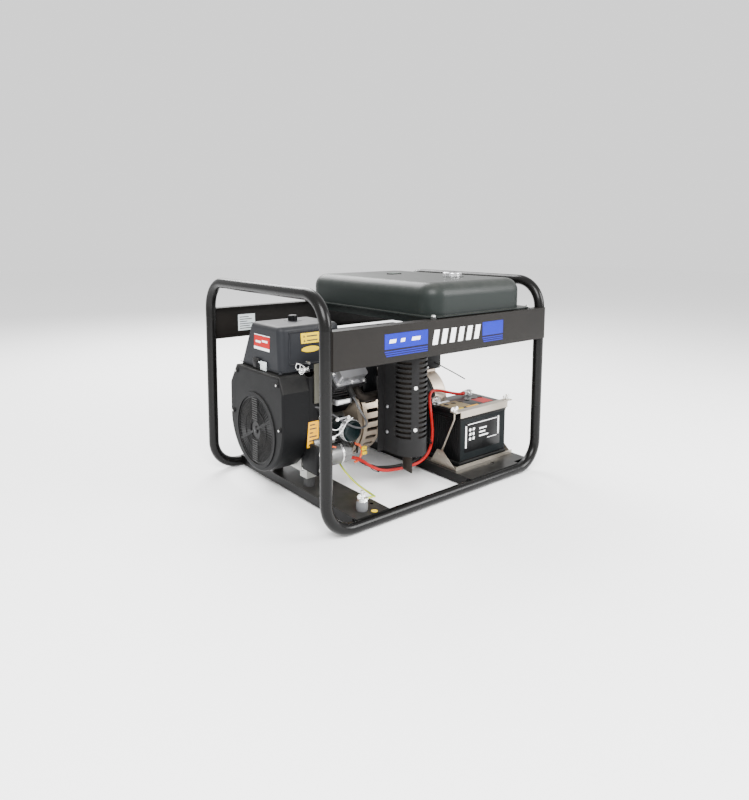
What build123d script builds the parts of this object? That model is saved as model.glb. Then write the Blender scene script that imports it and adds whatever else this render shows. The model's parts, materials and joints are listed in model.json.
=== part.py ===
from build123d import *
import math
import os

# Engine driven welder: tube frame, V-twin engine, alternator, tank, muffler, battery and control box.
# Millimetres. Origin: centre of the footprint on the floor. X right along the front, Y back, Z up.

os.makedirs("parts", exist_ok=True)

# ---------------------------------------------------------------- driving dimensions
# Frame
LENGTH = 940.0  # over the rail wraps on the right-hand legs
WIDTH = 700.0  # over both rail faces
HEIGHT = 676.0
TUBE_D = 34.0
TUBE_WALL = 2.5
BEND_R = 90.0
RAIL_T = 3.0
RAIL_H = 105.0
RAIL_LIP = 32.0
BASE_T = 3.0
BASE_FLANGE = 27.0
MEMBER_X = (-350.0, -230.0)  # engine cross member, left and right edge
PLATE_X = (120.0, 430.0)  # base plate, left and right edge
ANCHOR_D = 11.0
ANCHOR_X = (-250.0, 290.0)
ANCHOR_Y = 275.0

# Engine
CRANK_Y = 45.0
CRANK_Z = 217.0
SHAFT_R = 20.0
FIT = 0.05  # radial clearance of a running fit
GAP = 0.4  # clearance between pieces that move past each other
HOUSING_X = (-450.0, -358.0)
HOUSING_Y = (-115.0, 205.0)
HOUSING_TOP = 404.0
HOUSING_BOTTOM = 90.0
HOUSING_WALL = 3.0
GRILLE_R = 106.0
RIM_R = 118.0
FAN_R = 102.0
CASE_X = (-358.0, -190.0)
DECK_HALF = 60.0
CASE_BOTTOM = 98.0
MOUNT_H = 30.0
MOUNT_R = 17.5
BANK_X = -245.0  # middle of both cylinders along the crank
DECK = 100.0  # crank axis to the foot of a cylinder
BARREL_TOP = 175.0
HEAD_TOP = 262.0
ROCKER_TOP = 300.0
BORE_R = 37.0
BARREL_R = 43.0
HEAD_LEN = 110.0
HEAD_IN = 34.0
HEAD_OUT = 46.0

# Air cleaner
AIR_X = (-430.0, -190.0)
AIR_Y = (-76.0, 170.0)
AIR_TOP_X = (-425.0, -205.0)
AIR_TOP_Y = (-60.0, 112.0)
AIR_TOP = 545.0
AIR_BASE_T = 6.0
KNOB_X = -310.0

# Alternator
BELL_R = 150.0
BELL_END = -60.0
ALT_R = 108.0
ALT_WALL = 4.0
ALT_END = 228.0
ROTOR_R = 87.0
AIR_GAP = 1.0
BRACKET_END = 290.0
BEARING_R = 32.0

# Muffler
MUFFLER_X = -90.0
MUFFLER_Y = -262.0
MUFFLER_R = 44.0
MUFFLER_Z = (168.0, 470.0)
GUARD_R = 52.0
GUARD_T = 1.5
GUARD_Z = (155.0, 480.0)
GUARD_BACK = -201.0
SLOT_PITCH = 15.0
SLOT_H = 7.5
SLOT_COUNT = 18
TAIL_X = -97.0
TAIL_R = 15.0
TAIL_END = 84.0

# Tank
TANK_X = (-75.0, 400.0)
TANK_SIDE = 13.0  # flange edge inside the rail face
TANK_INSET = 17.0  # body inside the flange edge
TANK_H = 97.0  # body above the flange
TANK_EDGE = 42.0
TANK_WALL = 3.0
PAN_DEPTH = 26.0
CAP_X = 232.0
CAP_Y = -128.0
CAP_R = 32.0

# Battery, a 242 x 175 x 190 block
BATTERY_X = 160.0
BATTERY_Y = -243.0
BATTERY_SIZE = (242.0, 175.0, 190.0)
TRAY_T = 2.0
TRAY_SIDE = 25.0
ROD_R = 3.0

# Control box on the back
BOX_X = (-60.0, 360.0)
BOX_DEPTH = 94.0
BOX_Z = (110.0, 455.0)
BOX_T = 2.0
PANEL_T = 3.0

# Cables
RED_D = 10.0
BLACK_D = 11.0
EARTH_D = 6.0
LEAD_D = 6.5

# ---------------------------------------------------------------- places worked out from them
COS45 = math.sqrt(0.5)
CASE_HALF = (DECK + DECK_HALF) * COS45
CASE_Y = (CRANK_Y - CASE_HALF, CRANK_Y + CASE_HALF)
TUBE_R = TUBE_D / 2
LEFT_X = TUBE_R - LENGTH / 2
RIGHT_X = LENGTH / 2 - TUBE_R - RAIL_T
LEG_Y = WIDTH / 2 - TUBE_R - RAIL_T
TOP_Z = HEIGHT - TUBE_R
HOOP_FOOT = TUBE_R + BEND_R + 20
RAIL_TOP = TOP_Z - BEND_R
RAIL_BOTTOM = RAIL_TOP - RAIL_H
FACE_Y = WIDTH / 2
DECK_Z = TUBE_D + BASE_T
MOUNT_TOP = DECK_Z + MOUNT_H
BASE_Z = HOUSING_TOP
COVER_FOOT = BASE_Z + AIR_BASE_T + GAP
PAD_T = 3.0
FLANGE_Z = RAIL_TOP + PAD_T
FLANGE_T = 3.0
TANK_Y = FACE_Y - TANK_SIDE
TANK_TOP = FLANGE_Z + FLANGE_T + TANK_H
BOX_BACK = LEG_Y - 14
BOX_FRONT = BOX_BACK - BOX_DEPTH
PANEL_FACE = BOX_BACK + PANEL_T
BATTERY_BASE = DECK_Z + TRAY_T
BATTERY_TOP = BATTERY_BASE + BATTERY_SIZE[2]
BATTERY_BACK = BATTERY_Y + BATTERY_SIZE[1]
BATTERY_END = BATTERY_X + BATTERY_SIZE[0]
TRAY_X = (BATTERY_X - TRAY_SIDE, BATTERY_END + TRAY_SIDE)
SIDES = (-1, 1)


def middle(span):
    """Middle of a (low, high) pair."""
    return (span[0] + span[1]) / 2


def width(span):
    """Length of a (low, high) pair."""
    return span[1] - span[0]


def crank_plane(x):
    """Plane square to the crank axis at x; its own x is Y and its own y is Z."""
    return Plane(origin=(x, CRANK_Y, CRANK_Z), x_dir=(0, 1, 0), z_dir=(1, 0, 0))


def bank_plane(lean, height):
    """Plane across a cylinder at a height from the crank; lean is -1 for the front bank, 1 for the back."""
    return Plane(origin=(BANK_X, CRANK_Y, CRANK_Z), x_dir=(1, 0, 0), z_dir=(0, lean, 1)).offset(height)


def bank_span(lean):
    """Middle and width across a head, which reaches less far towards the valley than outwards."""
    return (lean * (HEAD_OUT - HEAD_IN) / 2, HEAD_OUT + HEAD_IN)


def bent_tube(points, radius):
    """Round tube along straight runs joined by bends of one radius."""
    with BuildPart() as tube:
        with BuildLine() as route:
            FilletPolyline(*points, radius=radius)
        with BuildSketch(Plane(origin=route.line @ 0, z_dir=route.line % 0)):
            Circle(TUBE_R)
            Circle(TUBE_R - TUBE_WALL, mode=Mode.SUBTRACT)
        sweep()
    return tube


def cord(points, diameter, name):
    """Plain round cord: straight runs joined by arcs as large as the runs allow."""
    steps = [Vector(*b) - Vector(*a) for a, b in zip(points, points[1:])]
    radii = []
    for before, after in zip(steps, steps[1:]):
        half_turn = math.radians(before.get_angle(after)) / 2
        radii.append(0.45 * min(before.length, after.length) / math.tan(half_turn))
    with BuildPart() as body:
        with BuildLine() as route:
            line = FilletPolyline(*points, radius=radii)
        with BuildSketch(Plane(origin=route.line @ 0, z_dir=route.line % 0)):
            Circle(diameter / 2)
        sweep()
    section = math.pi * diameter**2 / 4
    print(name, "length", round(line.length, 1))
    print(name, "volume ratio", round(body.part.volume / (section * line.length), 4))
    print(name, "radii in diameters", [round(r / diameter, 1) for r in radii])
    return body


# ---------------------------------------------------------------- frame tubes
def hoop(x):
    """Inverted U over one end, from the front sill's bend to the back sill's."""
    return bent_tube(
        [(x, -LEG_Y, HOOP_FOOT), (x, -LEG_Y, TOP_Z), (x, LEG_Y, TOP_Z), (x, LEG_Y, HOOP_FOOT)],
        BEND_R,
    )


def sill(y):
    """Bottom tube along one side with a bend up to the leg at each end."""
    return bent_tube(
        [(LEFT_X, y, HOOP_FOOT), (LEFT_X, y, TUBE_R), (RIGHT_X, y, TUBE_R), (RIGHT_X, y, HOOP_FOOT)],
        BEND_R,
    )


left_hoop = hoop(LEFT_X)
left_hoop.part.label = "left_hoop"
export_step(left_hoop.part, "parts/left_hoop.step")

right_hoop = hoop(RIGHT_X)
right_hoop.part.label = "right_hoop"
export_step(right_hoop.part, "parts/right_hoop.step")

front_sill_tube = sill(-LEG_Y)
front_sill_tube.part.label = "front_sill_tube"
export_step(front_sill_tube.part, "parts/front_sill_tube.step")

back_sill_tube = sill(LEG_Y)
back_sill_tube.part.label = "back_sill_tube"
export_step(back_sill_tube.part, "parts/back_sill_tube.step")


# ---------------------------------------------------------------- tank rails
def rail(side):
    """Sheet channel between the legs; its face carries on round the right-hand leg."""
    face = side * (FACE_Y - RAIL_T / 2)
    wrap_r = TUBE_R + RAIL_T / 2
    start = LEFT_X + 9
    with BuildPart() as sheet:
        with BuildSketch(Plane.XY.offset(RAIL_BOTTOM)):
            with BuildLine():
                Line((start, face), (RIGHT_X, face))
                CenterArc((RIGHT_X, side * LEG_Y), wrap_r, side * 90, -side * 110)
            trace(line_width=RAIL_T)
        extrude(amount=RAIL_H)
        lip_y = side * (FACE_Y - RAIL_T / 2 - RAIL_LIP / 2)
        for level in (RAIL_BOTTOM, RAIL_TOP - RAIL_T):
            with BuildSketch(Plane.XY.offset(level)):
                with Locations((middle((start, RIGHT_X - 10)), lip_y)):
                    Rectangle(RIGHT_X - 10 - start, RAIL_LIP - RAIL_T)
                with Locations((LEFT_X, side * LEG_Y), (RIGHT_X, side * LEG_Y)):
                    Circle(TUBE_R, mode=Mode.SUBTRACT)
            extrude(amount=RAIL_T)
    return sheet


front_rail = rail(-1)
front_rail.part.label = "front_rail"
export_step(front_rail.part, "parts/front_rail.step")

back_rail = rail(1)
back_rail.part.label = "back_rail"
export_step(back_rail.part, "parts/back_rail.step")


# ---------------------------------------------------------------- cross members on the sills
def cross_plate(span, anchor_x):
    """Folded sheet laid across both sills, notched where a bend rises, with flanges and anchor holes."""
    flange_len = 2 * (LEG_Y - TUBE_R - 1)
    bend_x = RIGHT_X - BEND_R
    with BuildPart() as plate:
        with Locations((middle(span), 0, TUBE_D + BASE_T / 2)):
            Box(width(span), 2 * LEG_Y, BASE_T)
        edges_x = (span[0] + BASE_T / 2, span[1] - BASE_T / 2)
        with Locations(*[(x, 0, TUBE_D - BASE_FLANGE / 2) for x in edges_x]):
            Box(BASE_T, flange_len, BASE_FLANGE)
        with Locations(*[(anchor_x, side * ANCHOR_Y, DECK_Z) for side in SIDES]):
            Hole(ANCHOR_D / 2, depth=BASE_T)
        if span[1] > bend_x:
            gap_y = (LEG_Y + flange_len / 2) / 2
            with Locations(*[(bend_x + BEND_R / 2, side * gap_y, TUBE_D) for side in SIDES]):
                Box(BEND_R, LEG_Y - flange_len / 2 + 1, 4 * BASE_T, mode=Mode.SUBTRACT)
    return plate


engine_crossmember = cross_plate(MEMBER_X, ANCHOR_X[0])
engine_crossmember.part.label = "engine_crossmember"
export_step(engine_crossmember.part, "parts/engine_crossmember.step")

base_plate = cross_plate(PLATE_X, ANCHOR_X[1])
base_plate.part.label = "base_plate"
export_step(base_plate.part, "parts/base_plate.step")

# Rubber bobbins under the engine and the alternator, and pads under the tank's flange
ENGINE_FEET = [(-314, -48), (-314, 138)]
ALT_FEET = [(259, CRANK_Y - 55), (259, CRANK_Y + 55)]
TANK_BOLTS = [(x, side * (FACE_Y - 22)) for x in (TANK_X[0] + 14, TANK_X[1] - 14) for side in SIDES]
with BuildPart() as rubber_mounts:
    with Locations(*[(x, y, DECK_Z + MOUNT_H / 2) for x, y in ENGINE_FEET + ALT_FEET]):
        Cylinder(MOUNT_R, MOUNT_H)
    with Locations(*[(x, y, RAIL_TOP + PAD_T / 2) for x, y in TANK_BOLTS]):
        Cylinder(9, PAD_T)
        Cylinder(3.2, PAD_T, mode=Mode.SUBTRACT)
rubber_mounts.part.label = "rubber_mounts"
export_step(rubber_mounts.part, "parts/rubber_mounts.step")

# ---------------------------------------------------------------- crankcase
CAVITY_R = 78.0
DIPSTICK_X = -336.0
DIPSTICK_Y = CASE_Y[1] + 13
DIPSTICK_R = 3.0
BOSS_TOP = 190.0


def deck_corner(lean, across):
    """Corner of a cylinder deck in (Y, Z), seen along the crank."""
    y = CRANK_Y + lean * (DECK * COS45 + across * COS45)
    z = CRANK_Z + DECK * COS45 - across * COS45
    return (y, z)


with BuildPart() as crankcase:
    with BuildSketch(Plane.YZ.offset(CASE_X[0])):
        with BuildLine():
            Polyline(
                (CASE_Y[0], CASE_BOTTOM),
                (CASE_Y[1], CASE_BOTTOM),
                deck_corner(1, DECK_HALF),
                deck_corner(1, -DECK_HALF),
                (CRANK_Y, CRANK_Z + 85),
                deck_corner(-1, -DECK_HALF),
                deck_corner(-1, DECK_HALF),
                close=True,
            )
        make_face()
    extrude(amount=width(CASE_X))
    for foot_x, foot_y in ENGINE_FEET:
        with Locations((foot_x, foot_y, middle((MOUNT_TOP, CASE_BOTTOM)))):
            Box(44, 38, CASE_BOTTOM - MOUNT_TOP)
    with BuildSketch(crank_plane(CASE_X[0] + 18)):
        Circle(CAVITY_R)
    extrude(amount=width(CASE_X) - 34, mode=Mode.SUBTRACT)
    with Locations((middle(CASE_X), middle(CASE_Y), 150)):
        Box(width(CASE_X) - 36, width(CASE_Y) - 50, 70, mode=Mode.SUBTRACT)
    with BuildSketch(crank_plane(CASE_X[0])):
        Circle(BEARING_R)
    extrude(amount=width(CASE_X), mode=Mode.SUBTRACT)
    for lean in SIDES:
        with BuildSketch(bank_plane(lean, DECK - 40)):
            Circle(BORE_R)
        extrude(amount=50, mode=Mode.SUBTRACT)
    with Locations((DIPSTICK_X, DIPSTICK_Y - 2, middle((CASE_BOTTOM, BOSS_TOP)))):
        Box(24, 28, BOSS_TOP - CASE_BOTTOM)
    with Locations((DIPSTICK_X, DIPSTICK_Y, BOSS_TOP)):
        Hole(DIPSTICK_R + FIT, depth=BOSS_TOP - CASE_BOTTOM - 10)
crankcase.part.label = "crankcase"
export_step(crankcase.part, "parts/crankcase.step")

# Dipstick: blade, stopper and pull ring
with BuildPart() as dipstick:
    with Locations((DIPSTICK_X, DIPSTICK_Y, CASE_BOTTOM + 15)):
        Cylinder(DIPSTICK_R, BOSS_TOP - CASE_BOTTOM - 5, align=(Align.CENTER, Align.CENTER, Align.MIN))
    with Locations((DIPSTICK_X, DIPSTICK_Y, BOSS_TOP + GAP)):
        Cylinder(9, 12, align=(Align.CENTER, Align.CENTER, Align.MIN))
    with Locations(Plane(origin=(DIPSTICK_X, DIPSTICK_Y, BOSS_TOP + GAP + 22), z_dir=(0, 1, 0))):
        Torus(10, 2.2)
dipstick.part.label = "dipstick"
export_step(dipstick.part, "parts/dipstick.step")

# ---------------------------------------------------------------- cylinders, heads, covers, pistons
FIN_PITCH = 8.0
FIN_T = 2.5

with BuildPart() as cylinders:
    for lean in SIDES:
        with BuildSketch(bank_plane(lean, DECK)):
            Circle(BARREL_R)
        extrude(amount=BARREL_TOP - DECK)
        for level in range(8):
            with BuildSketch(bank_plane(lean, DECK + 8 + level * FIN_PITCH)):
                with Locations((0, lean * 2.5)):
                    Rectangle(HEAD_LEN, 2 * BARREL_R + 5)
            extrude(amount=FIN_T)
        with BuildSketch(bank_plane(lean, DECK)):
            Circle(BORE_R)
        extrude(amount=BARREL_TOP - DECK, mode=Mode.SUBTRACT)
cylinders.part.label = "cylinders"
export_step(cylinders.part, "parts/cylinders.step")

with BuildPart() as cylinder_heads:
    for lean in SIDES:
        across, reach = bank_span(lean)
        with BuildSketch(bank_plane(lean, BARREL_TOP)):
            with Locations((0, across)):
                Rectangle(HEAD_LEN - 16, reach - 12)
        extrude(amount=HEAD_TOP - BARREL_TOP)
        for level in range(5):
            with BuildSketch(bank_plane(lean, BARREL_TOP + level * 2 * FIN_PITCH)):
                with Locations((0, across)):
                    Rectangle(HEAD_LEN, reach)
            extrude(amount=2 * FIN_T)
        with BuildSketch(bank_plane(lean, HEAD_TOP - 14)):
            with Locations((0, across)):
                Rectangle(HEAD_LEN, reach)
        extrude(amount=14)
cylinder_heads.part.label = "cylinder_heads"
export_step(cylinder_heads.part, "parts/cylinder_heads.step")

with BuildPart() as rocker_covers:
    for lean in SIDES:
        across, reach = bank_span(lean)
        with BuildSketch(bank_plane(lean, HEAD_TOP)):
            with Locations((0, across)):
                Rectangle(HEAD_LEN, reach)
        extrude(amount=6)
        with BuildSketch(bank_plane(lean, HEAD_TOP + 6)):
            with Locations((0, across)):
                RectangleRounded(HEAD_LEN - 12, reach - 12, 10)
        extrude(amount=ROCKER_TOP - HEAD_TOP - 6)
        with BuildSketch(bank_plane(lean, HEAD_TOP)):
            with Locations((0, across)):
                Rectangle(HEAD_LEN - 26, reach - 26)
        extrude(amount=ROCKER_TOP - HEAD_TOP - 5, mode=Mode.SUBTRACT)
rocker_covers.part.label = "rocker_covers"
export_step(rocker_covers.part, "parts/rocker_covers.step")

PISTON_H = 42.0
with BuildPart() as pistons:
    for lean in SIDES:
        crown = BARREL_TOP - 8 - 22 * (lean + 1) / 2
        with BuildSketch(bank_plane(lean, crown - PISTON_H)):
            Circle(BORE_R - FIT)
        extrude(amount=PISTON_H)
        with BuildSketch(bank_plane(lean, crown - PISTON_H)):
            Circle(BORE_R - 5)
        extrude(amount=PISTON_H - 8, mode=Mode.SUBTRACT)
pistons.part.label = "pistons"
export_step(pistons.part, "parts/pistons.step")

# Sheet shroud over the outer side of each cylinder, closed at the alternator end
SHROUD_T = 2.0
SHROUD_IN = BARREL_R + 5
with BuildPart() as cylinder_shrouds:
    for lean in SIDES:
        outer = lean * (SHROUD_IN + SHROUD_T / 2)
        with BuildSketch(bank_plane(lean, DECK + 10)):
            with Locations((-6.5, outer)):
                Rectangle(HEAD_LEN + 17, SHROUD_T)
            with Locations((HEAD_LEN / 2 + SHROUD_T / 2, lean * (SHROUD_IN - 40) / 2)):
                Rectangle(SHROUD_T, SHROUD_IN + 42)
        extrude(amount=BARREL_TOP - DECK + 14)
cylinder_shrouds.part.label = "cylinder_shrouds"
export_step(cylinder_shrouds.part, "parts/cylinder_shrouds.step")

# Spark plugs with their boots, on the outer side of each head
PLUG_LEVEL = 250.0
PLUG_X = -250.0
PLUG_LEN = 34.0


def plug_plane(lean, out):
    """Plane square to a spark plug, a distance out from the head's outer face."""
    side = Vector(0, lean * COS45, -COS45)
    foot = Vector(PLUG_X, CRANK_Y + lean * PLUG_LEVEL * COS45, CRANK_Z + PLUG_LEVEL * COS45)
    return Plane(origin=foot + side * (HEAD_OUT + out), x_dir=(1, 0, 0), z_dir=side)


with BuildPart() as spark_plugs:
    for lean in SIDES:
        with BuildSketch(plug_plane(lean, 0)):
            RegularPolygon(10, 6)
        extrude(amount=10)
        with BuildSketch(plug_plane(lean, 10)):
            Circle(9)
        extrude(amount=PLUG_LEN - 10)
spark_plugs.part.label = "spark_plugs"
export_step(spark_plugs.part, "parts/spark_plugs.step")

# ---------------------------------------------------------------- blower housing, grille, fan
def housing_outline(inset):
    """Outline seen along the crank: clipped shoulders, straight sides and a round bottom."""
    low_y = HOUSING_Y[0] + inset
    high_y = HOUSING_Y[1] - inset
    top = HOUSING_TOP - inset
    bend = HOUSING_BOTTOM + width(HOUSING_Y) / 2
    shoulders = [(low_y, top - 46), (low_y + 22, top), (high_y - 40, top), (high_y, top - 62)]
    with BuildSketch() as outline:
        with BuildLine():
            Polyline((low_y, bend), *shoulders, (high_y, bend))
            ThreePointArc((high_y, bend), (middle(HOUSING_Y), HOUSING_BOTTOM + inset), (low_y, bend))
        make_face()
    return outline.sketch


AIR_OUTLETS = [(-104.0, 94.0), (104.0, 94.0)]  # from the crank axis, towards the two cylinders
with BuildPart() as blower_housing:
    with BuildSketch(Plane.YZ.offset(HOUSING_X[0])):
        add(housing_outline(0))
    extrude(amount=width(HOUSING_X))
    fillet(blower_housing.faces().sort_by(Axis.X)[0].edges(), 7)
    with BuildSketch(Plane.YZ.offset(HOUSING_X[0] + HOUSING_WALL)):
        add(housing_outline(HOUSING_WALL + 2))
    extrude(amount=14, mode=Mode.SUBTRACT)
    with BuildSketch(Plane.YZ.offset(HOUSING_X[0] + HOUSING_WALL + 14)):
        add(housing_outline(HOUSING_WALL))
    extrude(amount=width(HOUSING_X) - 2 * HOUSING_WALL - 14, mode=Mode.SUBTRACT)
    with BuildSketch(crank_plane(HOUSING_X[1] - HOUSING_WALL)):
        Circle(80)
        with Locations(*AIR_OUTLETS):
            Circle(38)
    extrude(amount=HOUSING_WALL, mode=Mode.SUBTRACT)
    with BuildSketch(crank_plane(HOUSING_X[0] - 3)):
        Circle(RIM_R)
    extrude(amount=6)
    with BuildSketch(crank_plane(HOUSING_X[0] - 3)):
        Circle(GRILLE_R)
    extrude(amount=10, mode=Mode.SUBTRACT)
blower_housing.part.label = "blower_housing"
export_step(blower_housing.part, "parts/blower_housing.step")

with BuildPart() as fan_grille:
    with BuildSketch(crank_plane(HOUSING_X[0])):
        Circle(GRILLE_R)
        for ring_r, slots in ((88, 30), (62, 22)):
            with PolarLocations(ring_r, slots):
                Rectangle(18, 7, mode=Mode.SUBTRACT)
    extrude(amount=HOUSING_WALL)
fan_grille.part.label = "fan_grille"
export_step(fan_grille.part, "parts/fan_grille.step")

FAN_X = (-436.0, -386.0)
with BuildPart() as flywheel_fan:
    with BuildSketch(crank_plane(FAN_X[0])):
        Circle(44)
    extrude(amount=width(FAN_X))
    with BuildSketch(crank_plane(FAN_X[1] - 6)):
        Circle(FAN_R)
    extrude(amount=14)
    with BuildSketch(crank_plane(FAN_X[0] + 6)):
        with PolarLocations((FAN_R + 38) / 2, 16):
            Rectangle(FAN_R - 42, 4)
    extrude(amount=width(FAN_X) - 10)
    with BuildSketch(crank_plane(FAN_X[0])):
        Circle(SHAFT_R)
    extrude(amount=80, mode=Mode.SUBTRACT)
flywheel_fan.part.label = "flywheel_fan"
export_step(flywheel_fan.part, "parts/flywheel_fan.step")

# ---------------------------------------------------------------- crankshaft and bearings
COUPLING_X = -160.0
THROW = 32.0
WEB_T = 14.0
WEB_R = 58.0
PIN_LEN = 30.0
with BuildPart() as crankshaft:
    with BuildSketch(crank_plane(FAN_X[0])):
        Circle(SHAFT_R)
    extrude(amount=COUPLING_X - FAN_X[0])
    with BuildSketch(crank_plane(BANK_X - PIN_LEN / 2 - WEB_T)):
        Circle(WEB_R)
    extrude(amount=PIN_LEN + 2 * WEB_T)
    with BuildSketch(crank_plane(BANK_X - PIN_LEN / 2)):
        Circle(WEB_R + 1)
        with Locations((0, THROW)):
            Circle(17, mode=Mode.SUBTRACT)
    extrude(amount=PIN_LEN, mode=Mode.SUBTRACT)
crankshaft.part.label = "crankshaft"
export_step(crankshaft.part, "parts/crankshaft.step")

BEARING_W = 16.0
with BuildPart() as bearings:
    for bearing_x in (CASE_X[0] + 1, CASE_X[1] - 1 - BEARING_W, BRACKET_END - 8 - BEARING_W):
        with BuildSketch(crank_plane(bearing_x)):
            Circle(BEARING_R)
            Circle(SHAFT_R + FIT, mode=Mode.SUBTRACT)
        extrude(amount=BEARING_W)
bearings.part.label = "bearings"
export_step(bearings.part, "parts/bearings.step")

# ---------------------------------------------------------------- starter and oil filter on the front
STARTER_Y = CASE_Y[0] - 38
STARTER_Z = 143.0
STARTER_R = 34.0
STARTER_START = -345.0
STARTER_END = -215.0
with BuildPart() as starter_motor:
    with BuildSketch(Plane(origin=(STARTER_START, STARTER_Y, STARTER_Z), x_dir=(0, 1, 0), z_dir=(1, 0, 0))):
        Circle(STARTER_R)
    extrude(amount=STARTER_END - STARTER_START)
    solenoid_at = (STARTER_START, STARTER_Y - 2, STARTER_Z + 50)
    with BuildSketch(Plane(origin=solenoid_at, x_dir=(0, 1, 0), z_dir=(1, 0, 0))):
        Circle(16)
    extrude(amount=75)
    with Locations((-307, STARTER_Y, STARTER_Z + 30)):
        Box(40, 14, 20)
    with Locations((-270, CASE_Y[0] - 8, STARTER_Z)):
        Box(60, 16, 44)
starter_motor.part.label = "starter_motor"
export_step(starter_motor.part, "parts/starter_motor.step")

FILTER_R = 34.0
with BuildPart() as oil_filter:
    with BuildSketch(Plane(origin=(-218, CASE_Y[0], 215), x_dir=(1, 0, 0), z_dir=(0, -1, 0))):
        Circle(26)
    extrude(amount=8)
    with BuildSketch(Plane(origin=(-218, CASE_Y[0] - 8, 215), x_dir=(1, 0, 0), z_dir=(0, -1, 0))):
        Circle(FILTER_R)
    extrude(amount=74)
    fillet(oil_filter.faces().sort_by(Axis.Y)[0].edges(), 8)
oil_filter.part.label = "oil_filter"
export_step(oil_filter.part, "parts/oil_filter.step")

# ---------------------------------------------------------------- intake: carburettor and air cleaner
CARB_BOTTOM = 345.0
CARB_R = 27.0
ARM_R = 10.0
ARM_LEVEL = 212.0
with BuildPart() as carburettor:
    with Locations((BANK_X, CRANK_Y, CARB_BOTTOM)):
        Cylinder(CARB_R, BASE_Z - CARB_BOTTOM, align=(Align.CENTER, Align.CENTER, Align.MIN))
    for lean in SIDES:
        start = Vector(BANK_X, CRANK_Y, BASE_Z - 26)
        port_y = CRANK_Y + lean * (ARM_LEVEL - HEAD_IN + 8) * COS45
        end = Vector(BANK_X, port_y, CRANK_Z + (ARM_LEVEL + HEAD_IN - 8) * COS45)
        with BuildSketch(Plane(origin=start, x_dir=(1, 0, 0), z_dir=end - start)):
            Circle(ARM_R)
        extrude(amount=(end - start).length)
    with Locations((BANK_X, CRANK_Y, BASE_Z)):
        Hole(20, depth=45)
    add(cylinder_heads.part, mode=Mode.SUBTRACT)
carburettor.part.label = "carburettor"
export_step(carburettor.part, "parts/carburettor.step")

with BuildPart() as air_cleaner_base:
    with BuildSketch(Plane.XY.offset(BASE_Z)):
        with Locations((middle(AIR_X), middle(AIR_Y))):
            RectangleRounded(width(AIR_X), width(AIR_Y), 20)
        with Locations((BANK_X, CRANK_Y)):
            Circle(20, mode=Mode.SUBTRACT)
    extrude(amount=AIR_BASE_T)
air_cleaner_base.part.label = "air_cleaner_base"
export_step(air_cleaner_base.part, "parts/air_cleaner_base.step")

with BuildPart() as air_filter:
    with BuildSketch(Plane.XY.offset(BASE_Z + AIR_BASE_T)):
        with Locations((middle(AIR_X), CRANK_Y - 10)):
            RectangleRounded(190, 126, 50)
            RectangleRounded(130, 66, 30, mode=Mode.SUBTRACT)
    extrude(amount=72)
air_filter.part.label = "air_filter"
export_step(air_filter.part, "parts/air_filter.step")

STEM_R = 5.0
with BuildPart() as air_cleaner_cover:
    with BuildSketch(Plane.XY.offset(COVER_FOOT)):
        with Locations((middle(AIR_X), middle(AIR_Y))):
            RectangleRounded(width(AIR_X), width(AIR_Y), 20)
    with BuildSketch(Plane.XY.offset(AIR_TOP)):
        with Locations((middle(AIR_TOP_X), middle(AIR_TOP_Y))):
            RectangleRounded(width(AIR_TOP_X), width(AIR_TOP_Y), 20)
    loft()
    fillet(air_cleaner_cover.faces().sort_by(Axis.Z)[-1].edges(), 16)
    with BuildSketch(Plane.XY.offset(COVER_FOOT)):
        with Locations((middle(AIR_X), middle(AIR_Y))):
            RectangleRounded(width(AIR_X) - 10, width(AIR_Y) - 10, 15)
    with BuildSketch(Plane.XY.offset(AIR_TOP - 9)):
        with Locations((middle(AIR_TOP_X), middle(AIR_TOP_Y))):
            RectangleRounded(width(AIR_TOP_X) - 12, width(AIR_TOP_Y) - 12, 15)
    loft(mode=Mode.SUBTRACT)
    with Locations((KNOB_X, CRANK_Y, AIR_TOP)):
        Hole(STEM_R + FIT, depth=20)
air_cleaner_cover.part.label = "air_cleaner_cover"
export_step(air_cleaner_cover.part, "parts/air_cleaner_cover.step")

with BuildPart() as cover_knob:
    with Locations((KNOB_X, CRANK_Y, AIR_TOP + GAP)):
        Cylinder(15, 18, align=(Align.CENTER, Align.CENTER, Align.MIN))
    fillet(cover_knob.faces().sort_by(Axis.Z)[-1].edges(), 4)
    with BuildSketch(Plane.XY.offset(AIR_TOP + GAP)):
        with Locations((KNOB_X, CRANK_Y)):
            with PolarLocations(16.5, 6):
                Circle(4)
    extrude(amount=18, mode=Mode.SUBTRACT)
    with Locations((KNOB_X, CRANK_Y, AIR_TOP + GAP)):
        Cylinder(STEM_R, 24, align=(Align.CENTER, Align.CENTER, Align.MAX))
cover_knob.part.label = "cover_knob"
export_step(cover_knob.part, "parts/cover_knob.step")

# ---------------------------------------------------------------- muffler with its pipes, and the guard
PIPE_R = 14.0
FRONT_PORT_X = -212.0
FRONT_PORT = 232.0
BACK_PIPE_X = -115.0
BACK_PIPE_Z = 388.0
FRONT_PIPE_Y = -176.0
BACK_PORT_Y = CRANK_Y + 235 * COS45


def exhaust_run(points, bend):
    """Solid pipe run, cut to the muffler and the heads afterwards."""
    with BuildLine() as route:
        FilletPolyline(*points, radius=bend)
    with BuildSketch(Plane(origin=route.line @ 0, z_dir=route.line % 0)) as section:
        Circle(PIPE_R)
    sweep(section.sketch, path=route.line)


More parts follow.
